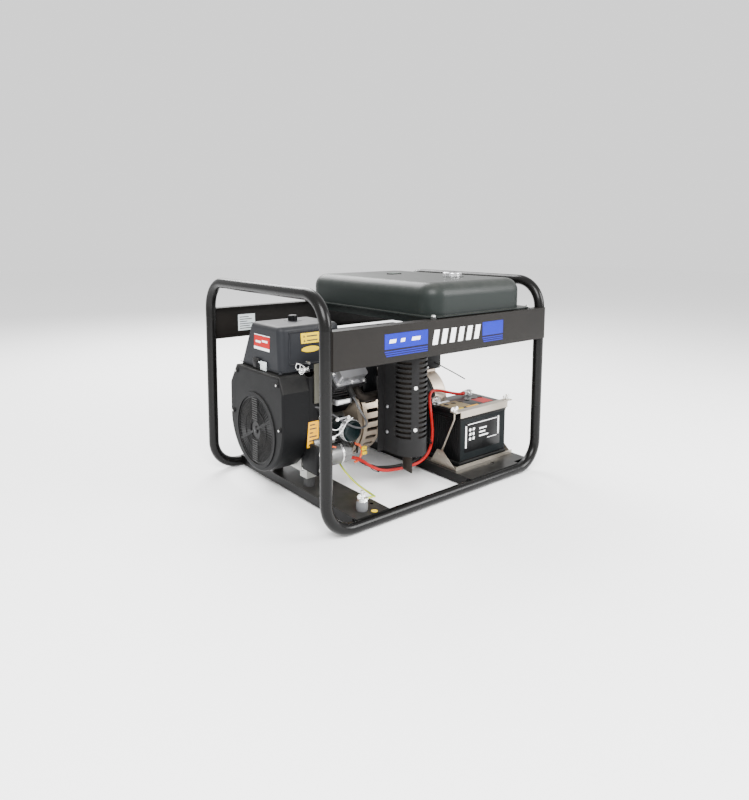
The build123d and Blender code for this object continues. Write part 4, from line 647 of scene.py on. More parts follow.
class Repeater:
    """Geometry Nodes trees that lay out one item many times, with named inputs for their sizes."""

    def __init__(self) -> None:
        """Builds one tree for each spread."""
        self.trees = {spread: self._tree(spread) for spread in Spread}

    def _tree(self, spread: Spread) -> bpy.types.NodeTree:
        """Tree that ends in Realize Instances and Set Material."""
        tree = bpy.data.node_groups.new(spread.value, "GeometryNodeTree")
        face = tree.interface
        face.new_socket(name="Geometry", in_out="INPUT", socket_type="NodeSocketGeometry")
        face.new_socket(name="Geometry", in_out="OUTPUT", socket_type="NodeSocketGeometry")
        for label, kind in (("Item", "NodeSocketObject"), ("Material", "NodeSocketMaterial"),
                            ("Count", "NodeSocketInt"), ("Radius", "NodeSocketFloat"),
                            ("Start", "NodeSocketVector"), ("Step", "NodeSocketVector"),
                            ("Turn", "NodeSocketRotation")):
            face.new_socket(name=label, in_out="INPUT", socket_type=kind)
        new, link = tree.nodes.new, tree.links.new
        start, end = new("NodeGroupInput"), new("NodeGroupOutput")
        item = new("GeometryNodeObjectInfo")
        item.inputs["As Instance"].default_value = True
        link(start.outputs["Item"], item.inputs["Object"])
        place = new("GeometryNodeInstanceOnPoints")
        link(item.outputs["Geometry"], place.inputs["Instance"])
        shift = new("GeometryNodeTransform")
        if spread is Spread.POINTS:
            axis = new("GeometryNodeInputNamedAttribute")
            axis.data_type = "FLOAT_VECTOR"
            axis.inputs["Name"].default_value = "axis"
            aim = new("FunctionNodeAlignRotationToVector")
            aim.axis = "Z"
            link(axis.outputs["Attribute"], aim.inputs["Vector"])
            link(start.outputs["Geometry"], place.inputs["Points"])
            link(aim.outputs["Rotation"], place.inputs["Rotation"])
        elif spread is Spread.RING:
            circle = new("GeometryNodeMeshCircle")
            link(start.outputs["Count"], circle.inputs["Vertices"])
            link(start.outputs["Radius"], circle.inputs["Radius"])
            spot = new("GeometryNodeInputPosition")
            aim = new("FunctionNodeAlignRotationToVector")
            aim.axis = "X"
            link(spot.outputs["Position"], aim.inputs["Vector"])
            link(circle.outputs["Mesh"], place.inputs["Points"])
            link(aim.outputs["Rotation"], place.inputs["Rotation"])
            link(start.outputs["Start"], shift.inputs["Translation"])
            link(start.outputs["Turn"], shift.inputs["Rotation"])
        else:
            line = new("GeometryNodeMeshLine")
            line.mode = "OFFSET"
            link(start.outputs["Count"], line.inputs["Count"])
            link(start.outputs["Start"], line.inputs["Start Location"])
            link(start.outputs["Step"], line.inputs["Offset"])
            link(line.outputs["Mesh"], place.inputs["Points"])
            link(start.outputs["Turn"], place.inputs["Rotation"])
        real = new("GeometryNodeRealizeInstances")
        paint = new("GeometryNodeSetMaterial")
        link(place.outputs["Instances"], shift.inputs["Geometry"])
        link(shift.outputs["Geometry"], real.inputs["Geometry"])
        link(real.outputs["Geometry"], paint.inputs["Geometry"])
        link(start.outputs["Material"], paint.inputs["Material"])
        link(paint.outputs["Geometry"], end.inputs["Geometry"])
        return tree

    def lay(self, name: str, spread: Spread, item: Shape, finish: Finish, body: str = "frame",
            stands_for: Iterable[str] = (), spots: Sequence[tuple[Vector, Vector]] = (),
            **values: object) -> bpy.types.Object:
        """Lays an item out and bakes the result to one plain piece.

        Args:
            name: the piece's name.
            spread: how the items lie.
            item: the item, round the origin, Z up or X outwards.
            finish: what the items are dressed in.
            body: the CAD body they move with.
            stands_for: CAD nodes that the piece replaces.
            spots: for POINTS, each item's place and the way its Z points.
            values: the tree's named inputs.

        Returns:
            The piece.
        """
        bmesh.ops.recalc_face_normals(item.bm, faces=item.bm.faces)
        sample_mesh = bpy.data.meshes.new(name + "_item")
        item.bm.to_mesh(sample_mesh)
        item.bm.free()
        sample = bpy.data.objects.new(name + "_item", sample_mesh)
        host_mesh = bpy.data.meshes.new(name + "_host")
        host_mesh.from_pydata([tuple(spot) for spot, _ in spots], [], [])
        if spots:
            axis = host_mesh.attributes.new("axis", "FLOAT_VECTOR", "POINT")
            axis.data.foreach_set("vector", [part for _, way in spots for part in way])
        host = bpy.data.objects.new(name + "_host", host_mesh)
        for made in (sample, host):
            bpy.context.scene.collection.objects.link(made)
        tree = self.trees[spread]
        modifier = host.modifiers.new("lay", "NODES")
        modifier.node_group = tree
        values = {"Item": sample, "Material": finish.material(GROUPS[0]), **values}
        for socket in tree.interface.items_tree:
            if socket.in_out == "INPUT" and socket.name in values:
                modifier[socket.identifier] = values[socket.name]
        host.update_tag()
        bpy.context.view_layer.update()
        graph = bpy.context.evaluated_depsgraph_get()
        mesh = bpy.data.meshes.new_from_object(host.evaluated_get(graph))
        host.modifiers.remove(modifier)
        for made in (sample, host):
            bpy.data.objects.remove(made)
        mesh.name = name
        return as_piece(name, mesh, finish, body, stands_for)


def hex_head(radius: float, height: float) -> Shape:
    """Hexagon bolt head on a washer, Z up from the surface."""
    head = Shape().rod(Vector(), Vector((0, 0, height * 0.3)), radius * 1.35, sides=20, bevel=height * 0.08)
    return head.rod(Vector((0, 0, height * 0.3)), Vector((0, 0, height)), radius, radius * 0.94, sides=6)


def pan_head(radius: float, height: float) -> Shape:
    """Domed screw head with a raised middle, Z up from the surface."""
    dome = [(0.0, radius * 0.2), (0.0, radius), (height * 0.45, radius * 0.96),
            (height * 0.85, radius * 0.66), (height, radius * 0.2)]
    head = Shape().lathe(Vector(), UP, dome, sides=18)
    return head.rod(Vector((0, 0, height * 0.2)), Vector((0, 0, height * 0.97)), radius * 0.22, sides=10)


# ---------------------------------------------------------------- sub-assemblies
@dataclass
class SubAssembly:
    """Common ground of the sub-assemblies: CAD nodes to dress, and pieces to add."""

    nodes: dict[str, bpy.types.Object]
    repeater: Repeater
    finishes: ClassVar[dict[str, Finish]] = {}

    def build(self) -> None:
        """Dresses the CAD nodes, then adds the pieces."""
        for name, finish in self.finishes.items():
            dress(self.nodes[name], finish)
        self.add_pieces()

    def add_pieces(self) -> None:
        """Adds the pieces that the CAD model doesn't have."""


def face_label(name: str, finish: Finish, corners: Sequence[Vector], out: Vector,
               body: str = "frame") -> None:
    """Thin sticker on a flat face, as thick as out is long."""
    Shape().slab(corners, out).finished(name, finish, body)


def upright(y: float, low: tuple[float, float], high: tuple[float, float],
            lean: float = 0.0) -> list[Vector]:
    """Corners of a plate in an XZ plane, given in millimetres; lean pushes its top edge along X."""
    (x0, z0), (x1, z1) = low, high
    return [mm(x0, y, z0), mm(x1, y, z0), mm(x1 + lean, y, z1), mm(x0 + lean, y, z1)]


@dataclass
class RailGraphics:
    """Generic blue bars and pale dashes along the front rail, in millimetres."""

    face: float = -350.0
    film: float = 0.04
    bars: tuple = ((-269.0, -105.0), (134.0, 232.0))
    bar_z: tuple = (503.0, 545.0)
    stripe_z: tuple = (497.5, 491.5, 485.5)
    stripe_t: float = 3.0
    dash_width: float = 21.0
    dash_pitch: float = 36.0
    dash_count: int = 6
    dash_start: float = -86.0
    dash_z: tuple = (497.0, 540.0)
    dash_lean: float = 9.0
    word_z: tuple = (519.0, 529.0)
    word_widths: tuple = (23.8, 15.4, 32.2)
    word_pitch: float = 42.0
    word_lean: float = 3.0

    def build(self) -> None:
        """Lays the bars, the stripes under them and the dashes between them."""
        out = mm(0, -self.film, 0)
        blue, white = Shape(), Shape()
        for low, high in self.bars:
            blue.slab(upright(self.face, (low, self.bar_z[0]), (high, self.bar_z[1])), out)
            for step, level in enumerate(self.stripe_z):
                blue.slab(upright(self.face, (low + 3 * step, level - self.stripe_t), (high, level)), out)
        for i in range(self.dash_count):
            left = self.dash_start + i * self.dash_pitch
            low, high = (left, self.dash_z[0]), (left + self.dash_width, self.dash_z[1])
            white.slab(upright(self.face, low, high, self.dash_lean), out)
        for i, width in enumerate(self.word_widths):
            left = self.bars[0][0] + 16 + i * self.word_pitch
            low, high = (left, self.word_z[0]), (left + width, self.word_z[1])
            white.slab(upright(self.face - self.film, low, high, self.word_lean), out)
        blue.finished("rail_blue_bars", KIT.blue)
        white.finished("rail_pale_dashes", KIT.white)


@dataclass
class FrameWork(SubAssembly):
    """Tubes, rails and plates, with their weld beads, graphics and nameplate."""

    finishes: ClassVar[dict[str, Finish]] = {
        "left_hoop": KIT.tube, "right_hoop": KIT.tube,
        "front_sill_tube": KIT.tube, "back_sill_tube": KIT.tube,
        "front_rail": KIT.rail, "back_rail": KIT.rail,
        "engine_crossmember": KIT.plate, "base_plate": KIT.plate,
        "rubber_mounts": KIT.rubber, "fasteners": KIT.zinc, "earth_nut": KIT.zinc,
    }
    leg_x: tuple = (-453.0, 450.0)
    leg_y: float = 330.0
    joint_z: float = 127.0
    weld_r: float = 15.0
    rail_z: tuple = (464.0, 569.0)
    rail_weld: tuple = (-445.0, 346.0)
    rail_ripples: int = 26
    plate_y: float = 347.0
    stud: tuple = (-300.0, -292.0)
    mark: tuple = (-276.0, -318.0)
    deck: float = 37.0

    def add_pieces(self) -> None:
        """Adds the welds, the front rail's graphics, the nameplate and the earth stud's puck."""
        self.add_leg_welds()
        self.add_rail_welds()
        RailGraphics().build()
        self.add_nameplate()
        self.add_earth_puck()

    @staticmethod
    def bead(radius: float) -> Shape:
        """One ripple of a weld."""
        shape = Shape()
        bmesh.ops.create_icosphere(shape.bm, subdivisions=1, radius=radius)
        return shape

    def add_leg_welds(self) -> None:
        """Ring of ripples where each leg meets the sill's bend."""
        for x_name, x in zip(("left", "right"), self.leg_x):
            for y_name, side in (("front", -1), ("back", 1)):
                self.repeater.lay(
                    f"leg_weld_{x_name}_{y_name}", Spread.RING, self.bead(0.0021), KIT.tube,
                    Count=34, Radius=self.weld_r * MM, Start=mm(x, side * self.leg_y, self.joint_z),
                )

    def add_rail_welds(self) -> None:
        """Upright bead at each rail's left end, where it meets the leg."""
        x, y = self.rail_weld
        low, high = self.rail_z[0] + 3, self.rail_z[1] - 3
        step = (high - low) / (self.rail_ripples - 1)
        for name, side in (("front", -1), ("back", 1)):
            self.repeater.lay(
                f"rail_weld_{name}", Spread.ROW, self.bead(0.0030), KIT.rail, Count=self.rail_ripples,
                Start=mm(x, side * y, low), Step=mm(0, 0, step),
            )

    def add_nameplate(self) -> None:
        """Pale plate with blank rows on the back rail's inner face."""
        out = mm(0, -0.3, 0)
        face_label("nameplate", KIT.silver, upright(self.plate_y, (-342, 480), (-275, 537)), out)
        rows = Shape()
        for i, length in enumerate((52, 40, 55, 30, 48, 36)):
            low, high = (-336, 486 + i * 8), (-336 + length, 489 + i * 8)
            rows.slab(upright(self.plate_y - 0.3, low, high), out)
        rows.finished("nameplate_rows", KIT.ink)

    def add_earth_puck(self) -> None:
        """Rubber puck under the earth stud and the round mark beside it."""
        profile = [(0.0, 0.0152), (0.004, 0.0168), (0.014, 0.0172), (0.024, 0.0166), (0.0278, 0.0152)]
        profile += [(0.0278, 0.0146), (0.0, 0.0146)]
        Shape().lathe(mm(*self.stud, self.deck), UP, profile).finished("earth_puck", KIT.puck)
        mark = Shape().rod(mm(*self.mark, self.deck), mm(*self.mark, self.deck + 0.4), 0.0095)
        mark.finished("earth_mark", KIT.yellow)


@dataclass
class Tank(SubAssembly):
    """Fuel tank with its seam, bolts and gauge."""

    finishes: ClassVar[dict[str, Finish]] = {
        "fuel_tank": KIT.tank, "fuel_cap": KIT.chrome, "fuel_gauge": KIT.grille, "tap_lever": KIT.red,
    }
    seam_r: float = 0.0018
    seam_z: float = 0.5735
    corner: float = 0.030
    corner_steps: int = 8

    def add_pieces(self) -> None:
        """Adds the rolled seam, the hexagon bolts, the filler's ring and the gauge's window."""
        self.add_seam()
        spots = [(mm(x, y, 575), UP) for x in (-61, 386) for y in (-328, 328)]
        self.repeater.lay("tank_bolts", Spread.POINTS, hex_head(0.0052, 0.0062), KIT.zinc, spots=spots)
        self.add_filler()
        self.add_gauge_window()

    def add_seam(self) -> None:
        """Rolled edge round the tank's flange, with an arc at each corner."""
        low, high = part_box("fuel_tank")
        left, right = low[0] + self.corner, high[0] - self.corner
        front, back = low[1] + self.corner, high[1] - self.corner
        reach = self.corner - self.seam_r
        line = []
        for x, y, start in ((right, back, 0), (left, back, 90), (left, front, 180), (right, front, 270)):
            for angle in spaced(start, 90 / self.corner_steps, self.corner_steps + 1):
                line.append(Vector((x + reach * math.cos(angle), y + reach * math.sin(angle), self.seam_z)))
        line.append(line[0])
        Shape().sweep(line, self.seam_r, 8, 1).finished("tank_seam", KIT.tank)

    def add_filler(self) -> None:
        """Ring round the filler and the raised crown on its cap."""
        cap_low, cap_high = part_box("fuel_cap")
        x, y = (cap_low[0] + cap_high[0]) / 2, (cap_low[1] + cap_high[1]) / 2
        ring = [(0.0, 0.0335), (0.0, 0.041), (0.0015, 0.040), (0.0022, 0.036), (0.0012, 0.0335)]
        Shape().lathe(Vector((x, y, cap_low[2] - 0.0005)), UP, ring).finished("filler_ring", KIT.tank)
        top = [(0.0, 0.004), (0.0, 0.022), (0.0011, 0.0205), (0.0011, 0.004)]
        crown = Shape().lathe(Vector((x, y, cap_high[2] - 0.0011)), UP, top)
        crown.finished("cap_crown", KIT.chrome, "fuel_cap_body")

    @staticmethod
    def add_gauge_window() -> None:
        """Dark window in the top of the gauge."""
        low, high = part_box("fuel_gauge")
        glass_low = Vector((low[0] + 0.012, low[1] + 0.008, high[2] - 0.001))
        glass_high = Vector((high[0] - 0.012, high[1] - 0.008, high[2] + 0.0003))
        Shape().block(glass_low, glass_high, 0.0003).finished("gauge_window", KIT.screen)


@dataclass
class Engine(SubAssembly):
    """Blower housing, air cleaner, both cylinders and what hangs on them."""

    finishes: ClassVar[dict[str, Finish]] = {
        "crankcase": KIT.casting, "cylinders": KIT.head, "cylinder_heads": KIT.head,
        "rocker_covers": KIT.rocker, "pistons": KIT.casting, "cylinder_shrouds": KIT.shroud,
        "spark_plugs": KIT.knob, "blower_housing": KIT.moulded, "flywheel_fan": KIT.iron,
        "crankshaft": KIT.steel, "bearings": KIT.steel, "starter_motor": KIT.starter,
        "oil_filter": KIT.enamel, "carburettor": KIT.casting,
        "air_cleaner_base": KIT.moulded, "air_filter": KIT.paper, "air_cleaner_cover": KIT.cover,
        "cover_knob": KIT.knob, "dipstick": KIT.zinc,
    }
    axis: tuple = SHAFT_YZ
    face: float = -450.0
    starter: tuple = (-106.14, 143.0)
    filter_xz: tuple = (-218.0, 215.0)
    cover_z: tuple = (410.4, 545.0)

    def add_pieces(self) -> None:
        """Adds the grille, the labels, the latch and the engine's small fittings."""
        self.add_grille()
        self.add_housing_screws()
        self.add_cover_details()
        self.add_side_panels()
        self.add_brackets()
        self.add_bolts()
        self.add_loom()

    def add_grille(self) -> None:
        """Round air inlet with fine spokes, rings and two stacks of slats; the slats wear the lighter rubber
        black as a painted highlight, though they are the grille's black moulding.
        """
        y, z = self.axis
        centre = mm(self.face, y, z)
        disc = [(-0.003, 0.004), (-0.003, 0.1055), (-0.0005, 0.1055), (-0.0005, 0.102), (-0.0018, 0.101),
                (-0.0018, 0.004)]
        plate = Shape().lathe(centre, LEFT, disc, 96)
        for radius in (0.028, 0.062, 0.100):
            outer = radius + 0.0016
            ring = [(-0.002, radius), (0.0006, radius), (0.0006, outer), (-0.002, outer)]
            plate.lathe(centre, LEFT, ring, 96)
        hub = [(-0.002, 0.0005), (0.0016, 0.0005), (0.0016, 0.008), (0.0004, 0.012), (-0.002, 0.012)]
        plate.lathe(centre, LEFT, hub)
        for turn in (-28.0, 152.0):
            angle = math.radians(turn)
            way = Vector((0, math.cos(angle), math.sin(angle)))
            across = Vector((0, -way.z, way.y)) * 0.0035
            start, end = way * 0.012, way * 0.102
            base = mm(self.face - 0.2, y, z)
            corners = [base + start + across, base + end + across, base + end - across,
                       base + start - across]
            plate.slab(corners, LEFT * 0.0012)
        plate.finished("fan_grille_plate", KIT.grille, stands_for=["fan_grille"])
        spoke = Shape().block(mm(-36, -0.7, -1.0), mm(34, 0.7, 1.2), 0.0002, 1)
        self.repeater.lay("grille_spokes", Spread.RING, spoke, KIT.grille, Count=64, Radius=0.066,
                          Start=mm(self.face - 0.2, y, z), Turn=turned_to(LEFT))
        for name, start in (("top", z + 34), ("bottom", z - 98)):
            slat = Shape().block(mm(-2.4, -15, -1.7), mm(0, 15, 1.7), 0.0004, 1)
            # painted highlight: the slats are the grille's black moulding, dressed in the lighter rubber
            # black so that they stand out as highlights would pick them out
            self.repeater.lay(f"grille_slats_{name}", Spread.ROW, slat, KIT.rubber, Count=10,
                              Start=mm(self.face - 0.4, y, start), Step=mm(0, 0, 7.1))
        spots = [(mm(self.face - 1.4, y, z), LEFT)]
        self.repeater.lay("grille_screw", Spread.POINTS, pan_head(0.0045, 0.002), KIT.iron, spots=spots)

    def add_housing_screws(self) -> None:
        """Screws on the housing's face, studs on its far side and the rim round the grille."""
        places = ((-87, 382), (157, 386), (183, 250), (-99, 250))
        spots = [(mm(self.face, y, z), LEFT) for y, z in places]
        self.repeater.lay("housing_screws", Spread.POINTS, pan_head(0.0078, 0.0056), KIT.knob, spots=spots)
        spots = [(mm(self.face - 5.6, y, z), LEFT) for y, z in places]
        tip = pan_head(0.0034, 0.0012)
        self.repeater.lay("housing_screw_tips", Spread.POINTS, tip, KIT.zinc, spots=spots)
        spots = [(mm(-418, 205, z), BACK) for z in (266, 248, 230)]
        self.repeater.lay("housing_studs", Spread.POINTS, hex_head(0.0048, 0.012), KIT.zinc, spots=spots)
        rim = [(0.0, 0.1065), (0.0026, 0.1085), (0.0029, 0.1120), (0.0026, 0.1160), (0.0, 0.1178)]
        y, z = self.axis
        Shape().lathe(mm(self.face - 0.2, y, z), LEFT, rim, 96).finished("housing_rim", KIT.moulded)

    def side_of_cover(self, x: float, z: float, out: float = 0.0) -> Vector:
        """Point on the air cleaner cover's front side, which leans back towards the top."""
        return mm(x, -76 + 16 * self.up_cover(z) - out, z)

    def front_of_cover(self, y: float, z: float, out: float = 0.0) -> Vector:
        """Point on the cover's left face."""
        return mm(-430 + 5 * self.up_cover(z) - out, y, z)

    def up_cover(self, z: float) -> float:
        """Share of the way from the cover's foot to its top."""
        foot, top = self.cover_z
        return (z - foot) / (top - foot)

    def add_cover_details(self) -> None:
        """Everything that the air cleaner cover carries, and the latch under it."""
        body = "cover_body"
        self.add_cover_labels(body)
        self.add_cover_trim(body)
        latch = Shape().block(mm(-437, 42, 405), mm(-431, 80, 438), 0.002)
        latch.block(mm(-440, 50, 409), mm(-436, 72, 431), 0.0015)
        latch.finished("cover_latch", KIT.knob)
        catch = Shape().block(mm(-436, 2, 406), mm(-431, 36, 433), 0.0018)
        catch.rod(mm(-437, 40, 430), mm(-437, -2, 418), 0.0022, sides=12)
        catch.finished("cover_latch_plate", KIT.silver)

    def add_cover_labels(self, body: str) -> None:
        """Red label on the left face and yellow label on the front side, with blank rows."""
        out = Vector((-0.0003, 0, 0))
        flat = Vector((0, -0.0003, 0))
        red = [self.front_of_cover(y, z) for y, z in ((84, 474), (-8, 474), (-8, 508), (84, 508))]
        face_label("cover_red_label", KIT.crimson, red, out, body)
        white = Shape()
        for low, high in ((465, 473), (509, 511)):
            corners = [self.front_of_cover(y, z) for y, z in ((84, low), (-8, low), (-8, high), (84, high))]
            white.slab(corners, out)
        for i, (start, end) in enumerate(((74, 44), (36, 4))):
            row = 486 + 4 * i
            corners = ((start, row), (end, row), (end, row + 6), (start, row + 6))
            white.slab([self.front_of_cover(y, z, 0.3) for y, z in corners], out)
        white.finished("cover_label_rows", KIT.white, body)
        yellow = [self.side_of_cover(x, z) for x, z in ((-352, 490), (-283, 490), (-283, 521), (-352, 521))]
        face_label("cover_side_label", KIT.yellow, yellow, flat, body)
        marks = Shape()
        for level in (498, 511):
            for corners in (
                ((-344, -3), (-337, -3), (-340.5, 4)),
                ((-331, -2), (-292, -2), (-292, 2), (-331, 2)),
            ):
                marks.slab([self.side_of_cover(x, level + z, 0.3) for x, z in corners], flat)
        marks.finished("cover_side_marks", KIT.ink, body)

    def add_cover_trim(self, body: str) -> None:
        """Raised frame on the cover's front side, the seat of its knob and the bead at its foot."""
        frame = Shape()
        ends = ((-398, 430), (-222, 430), (-226, 526), (-390, 526))
        line = []
        for i, (x, z) in enumerate(ends):
            before, after = ends[i - 1], ends[(i + 1) % 4]
            for near in (before, after):
                line.append(self.side_of_cover(x + (near[0] - x) * 0.08, z + (near[1] - z) * 0.12, -0.4))
        line.append(line[0])
        frame.sweep(line, 0.0034, 8, 4)
        frame.finished("cover_side_frame", KIT.cover, body)
        groove = Shape().block(mm(-331, 24, 544.2), mm(-289, 66, 545.9), 0.0008)
        groove.finished("cover_knob_seat", KIT.cover, body)
        seam = [(-431.0, 166), (-431.0, -70), (-424, -76.4), (-196, -76.4)]
        bead = Shape().sweep([mm(x, y, 412.5) for x, y in seam], 0.0014, 8, 3)
        bead.finished("cover_foot_bead", KIT.cover, body)

    def add_side_panels(self) -> None:
        """Panels behind the housing, with their label, and the choke's tag, linkage and spring."""
        scroll = Shape().block(mm(-358, -115, 186), mm(-322, -108, 398), 0.003)
        scroll.block(mm(-358, -108, 190), mm(-352, -70, 396), 0.001)
        scroll.block(mm(-358, -152, 106), mm(-347, -72, 196), 0.004)
        scroll.finished("scroll_panel", KIT.moulded)
        cowl = Shape().block(mm(-188, -158, 300), mm(-128, -132, 452), 0.006)
        cowl.block(mm(-188, -158, 440), mm(-128, -60, 452), 0.004)
        cowl.finished("rear_cowl", KIT.shroud)
        corners = [mm(-368, -115, 184), mm(-326, -115, 184), mm(-324, -115, 262), mm(-361, -115, 262)]
        face_label("scroll_label", KIT.amber, corners, mm(0, -0.3, 0))
        marks = Shape()
        for i, length in enumerate((22, 15, 26, 12, 24, 18)):
            left, low = -360 + i * 0.8, 190 + i * 12
            marks.slab(upright(-115.3, (left, low), (left + length, low + 4)), mm(0, -0.2, 0))
        marks.finished("scroll_label_marks", KIT.ink)
        Shape().block(mm(-343, -121, 316), mm(-303, -117, 436), 0.0015).finished("intake_panel", KIT.olive)
        tag = [self.side_of_cover(-320 + 33 * math.cos(a), 472 + 9 * math.sin(a)) for a in spaced(0, 18, 20)]
        face_label("choke_tag", KIT.yellow, tag, mm(0, -0.5, 0), "cover_body")
        self.add_choke_linkage()

    @staticmethod
    def add_choke_linkage() -> None:
        """Two eyes, a rod, its pivots and a coil spring between the cover and the leg."""
        linkage = Shape()
        for i in range(2):
            ring = [mm(-384 + 12 * i + 8 * math.cos(a), -96, 430 - 16 * i + 9 * math.sin(a))
                    for a in spaced(0, 30, 13)]
            linkage.sweep(ring, 0.0011, 6, 2)
        rod = [mm(-388, -92, 440), mm(-370, -97, 432), mm(-354, -95, 418), mm(-344, -92, 424)]
        linkage.sweep(rod, 0.0017)
        linkage.rod(mm(-362, -88, 420), mm(-362, -101, 420), 0.006, sides=18, bevel=0.001)
        linkage.rod(mm(-346, -84, 436), mm(-346, -100, 436), 0.0045, sides=6)
        linkage.block(mm(-377, -93, 408), mm(-340, -90, 414), 0.0008)
        linkage.finished("choke_linkage", KIT.zinc)
        spring = [mm(-378 + 0.4 * k, -94 + 3.2 * math.sin(a), 417 + 3.2 * math.cos(a))
                  for k, a in enumerate(spaced(0, 45, 73))]
        Shape().sweep(spring, 0.0006, 6, 1).finished("choke_spring", KIT.zinc)

    def add_brackets(self) -> None:
        """Bright brackets and straps in front of the front cylinder."""
        plates = Shape().block(mm(-296, -166, 312), mm(-238, -163, 328), 0.001)
        plates.block(mm(-296, -163, 312), mm(-290, -146, 328), 0.0008)
        plates.block(mm(-300, -168, 268), mm(-246, -166, 274), 0.0006)
        plates.block(mm(-302, -160, 398), mm(-196, -146, 404), 0.002)
        plates.finished("shroud_brackets", KIT.rocker)
        face_label("bracket_label", KIT.white, upright(-166.0, (-290, 316), (-246, 325)), mm(0, -0.3, 0))
        spots = [(mm(x, -168.2, 271), FRONT) for x in (-294, -252)]
        spots += [(mm(x, -153, 404), UP) for x in (-296, -249, -202)]
        self.repeater.lay("bracket_bolts", Spread.POINTS, hex_head(0.0042, 0.005), KIT.zinc, spots=spots)

    def add_bolts(self) -> None:
        """Bolts on the rocker covers and the crankcase, ribs, and what the starter and filter carry."""
        spots = []
        for side in (-1, 1):
            way = Vector((0, side, 1)).normalized()
            across = Vector((0, side, -1)).normalized()
            base = mm(-245, *self.axis)
            for along in (-48, 0, 48):
                for reach in (-28, 40):
                    spots.append((base + way * 0.268 + across * reach * MM + mm(along, 0, 0), way))
        self.repeater.lay("rocker_bolts", Spread.POINTS, hex_head(0.0042, 0.0055), KIT.zinc, spots=spots)
        spots = [(mm(x, -68.1, 104), FRONT) for x in (-350, -318, -262, -244)]
        spots += [(mm(x, -68.1, 250), FRONT) for x in (-346, -290, -250)]
        self.repeater.lay("case_bolts", Spread.POINTS, hex_head(0.005, 0.006), KIT.zinc, spots=spots)
        rib = Shape().block(mm(-1.5, -3.5, 0), mm(1.5, 0.5, 54), 0.0008, 1)
        self.repeater.lay("case_ribs", Spread.ROW, rib, KIT.casting, Count=6,
                          Start=mm(-350, -68, 184), Step=mm(18, 0, 0))
        rib = Shape().block(mm(-2, 0, -4), mm(2, 120, 4), 0.001, 1)
        self.repeater.lay("sump_ribs", Spread.ROW, rib, KIT.casting, Count=8,
                          Start=mm(-348, -10, 98), Step=mm(20, 0, 0))
        self.dress_starter()
        self.dress_filter()

    def dress_starter(self) -> None:
        """Bolts and bright bands on the starter motor."""
        y, z = self.starter
        spots = [(mm(-215, y + 0.14 + 26 * math.cos(a), z + 26 * math.sin(a)), RIGHT) for a in (0.5, 2.64)]
        self.repeater.lay("starter_bolts", Spread.POINTS, hex_head(0.004, 0.005), KIT.zinc, spots=spots)
        band = [(0.0, 0.0342), (0.0, 0.0352), (0.006, 0.0352), (0.006, 0.0342)]
        bands = Shape()
        for x in (-338, -250):
            bands.lathe(mm(x, y, z), RIGHT, band)
        bands.finished("starter_bands", KIT.zinc)

    def dress_filter(self) -> None:
        """Grip flutes and a label on the oil filter."""
        x, z = self.filter_xz
        grip = Shape().block(mm(-1.4, -1.2, -26), mm(0.6, 1.2, 26), 0.0006, 1)
        self.repeater.lay("filter_flutes", Spread.RING, grip, KIT.enamel, Count=24, Radius=0.0345,
                          Start=mm(x, -113, z), Turn=turned_to(BACK))
        label = [(0.0, 0.0343), (0.0, 0.0349), (0.020, 0.0349), (0.020, 0.0343)]
        Shape().lathe(mm(x, -122, z), FRONT, label).finished("filter_label", KIT.white)

    def add_loom(self) -> None:
        """Thin wires, their sleeves and the yellow and white connectors over the starter."""
        black, orange = Shape(), Shape()
        black.sweep([mm(-330, -112, 300), mm(-306, -128, 262), mm(-286, -138, 226), mm(-262, -140, 196),
                     mm(-232, -138, 176), mm(-206, -126, 158)], 0.0042)
        black.sweep([mm(-322, -104, 262), mm(-296, -112, 240), mm(-270, -118, 196),
                     mm(-246, -122, 184)], 0.0030)
        black.sweep([mm(-236, -120, 180), mm(-204, -126, 172), mm(-180, -118, 150),
                     mm(-172, -110, 128)], 0.0034)
        black.finished("loom_sleeves", KIT.black)
        orange.sweep([mm(-196, -128, 168), mm(-170, -124, 152), mm(-162, -120, 128), mm(-170, -116, 106),
                      mm(-186, -114, 100)], 0.0034)
        orange.sweep([mm(-318, -140, 190), mm(-300, -146, 184), mm(-284, -146, 178)], 0.0024)
        orange.finished("starter_branch", KIT.orange)
        plugs = Shape().block(mm(-168, -132, 138), mm(-150, -122, 150), 0.0015)
        plugs.block(mm(-164, -128, 122), mm(-146, -118, 133), 0.0015)
        plugs.finished("loom_connectors", KIT.yellow)
        whites = Shape().block(mm(-312, -150, 205), mm(-288, -142, 214), 0.001)
        whites.sweep([mm(-300, -146, 210), mm(-270, -152, 222), mm(-246, -154, 252),
                      mm(-226, -156, 262)], 0.0016)
        whites.sweep([mm(-305, -140, 238), mm(-280, -148, 232), mm(-262, -152, 246)], 0.0014)
        whites.finished("loom_white_wires", KIT.white)


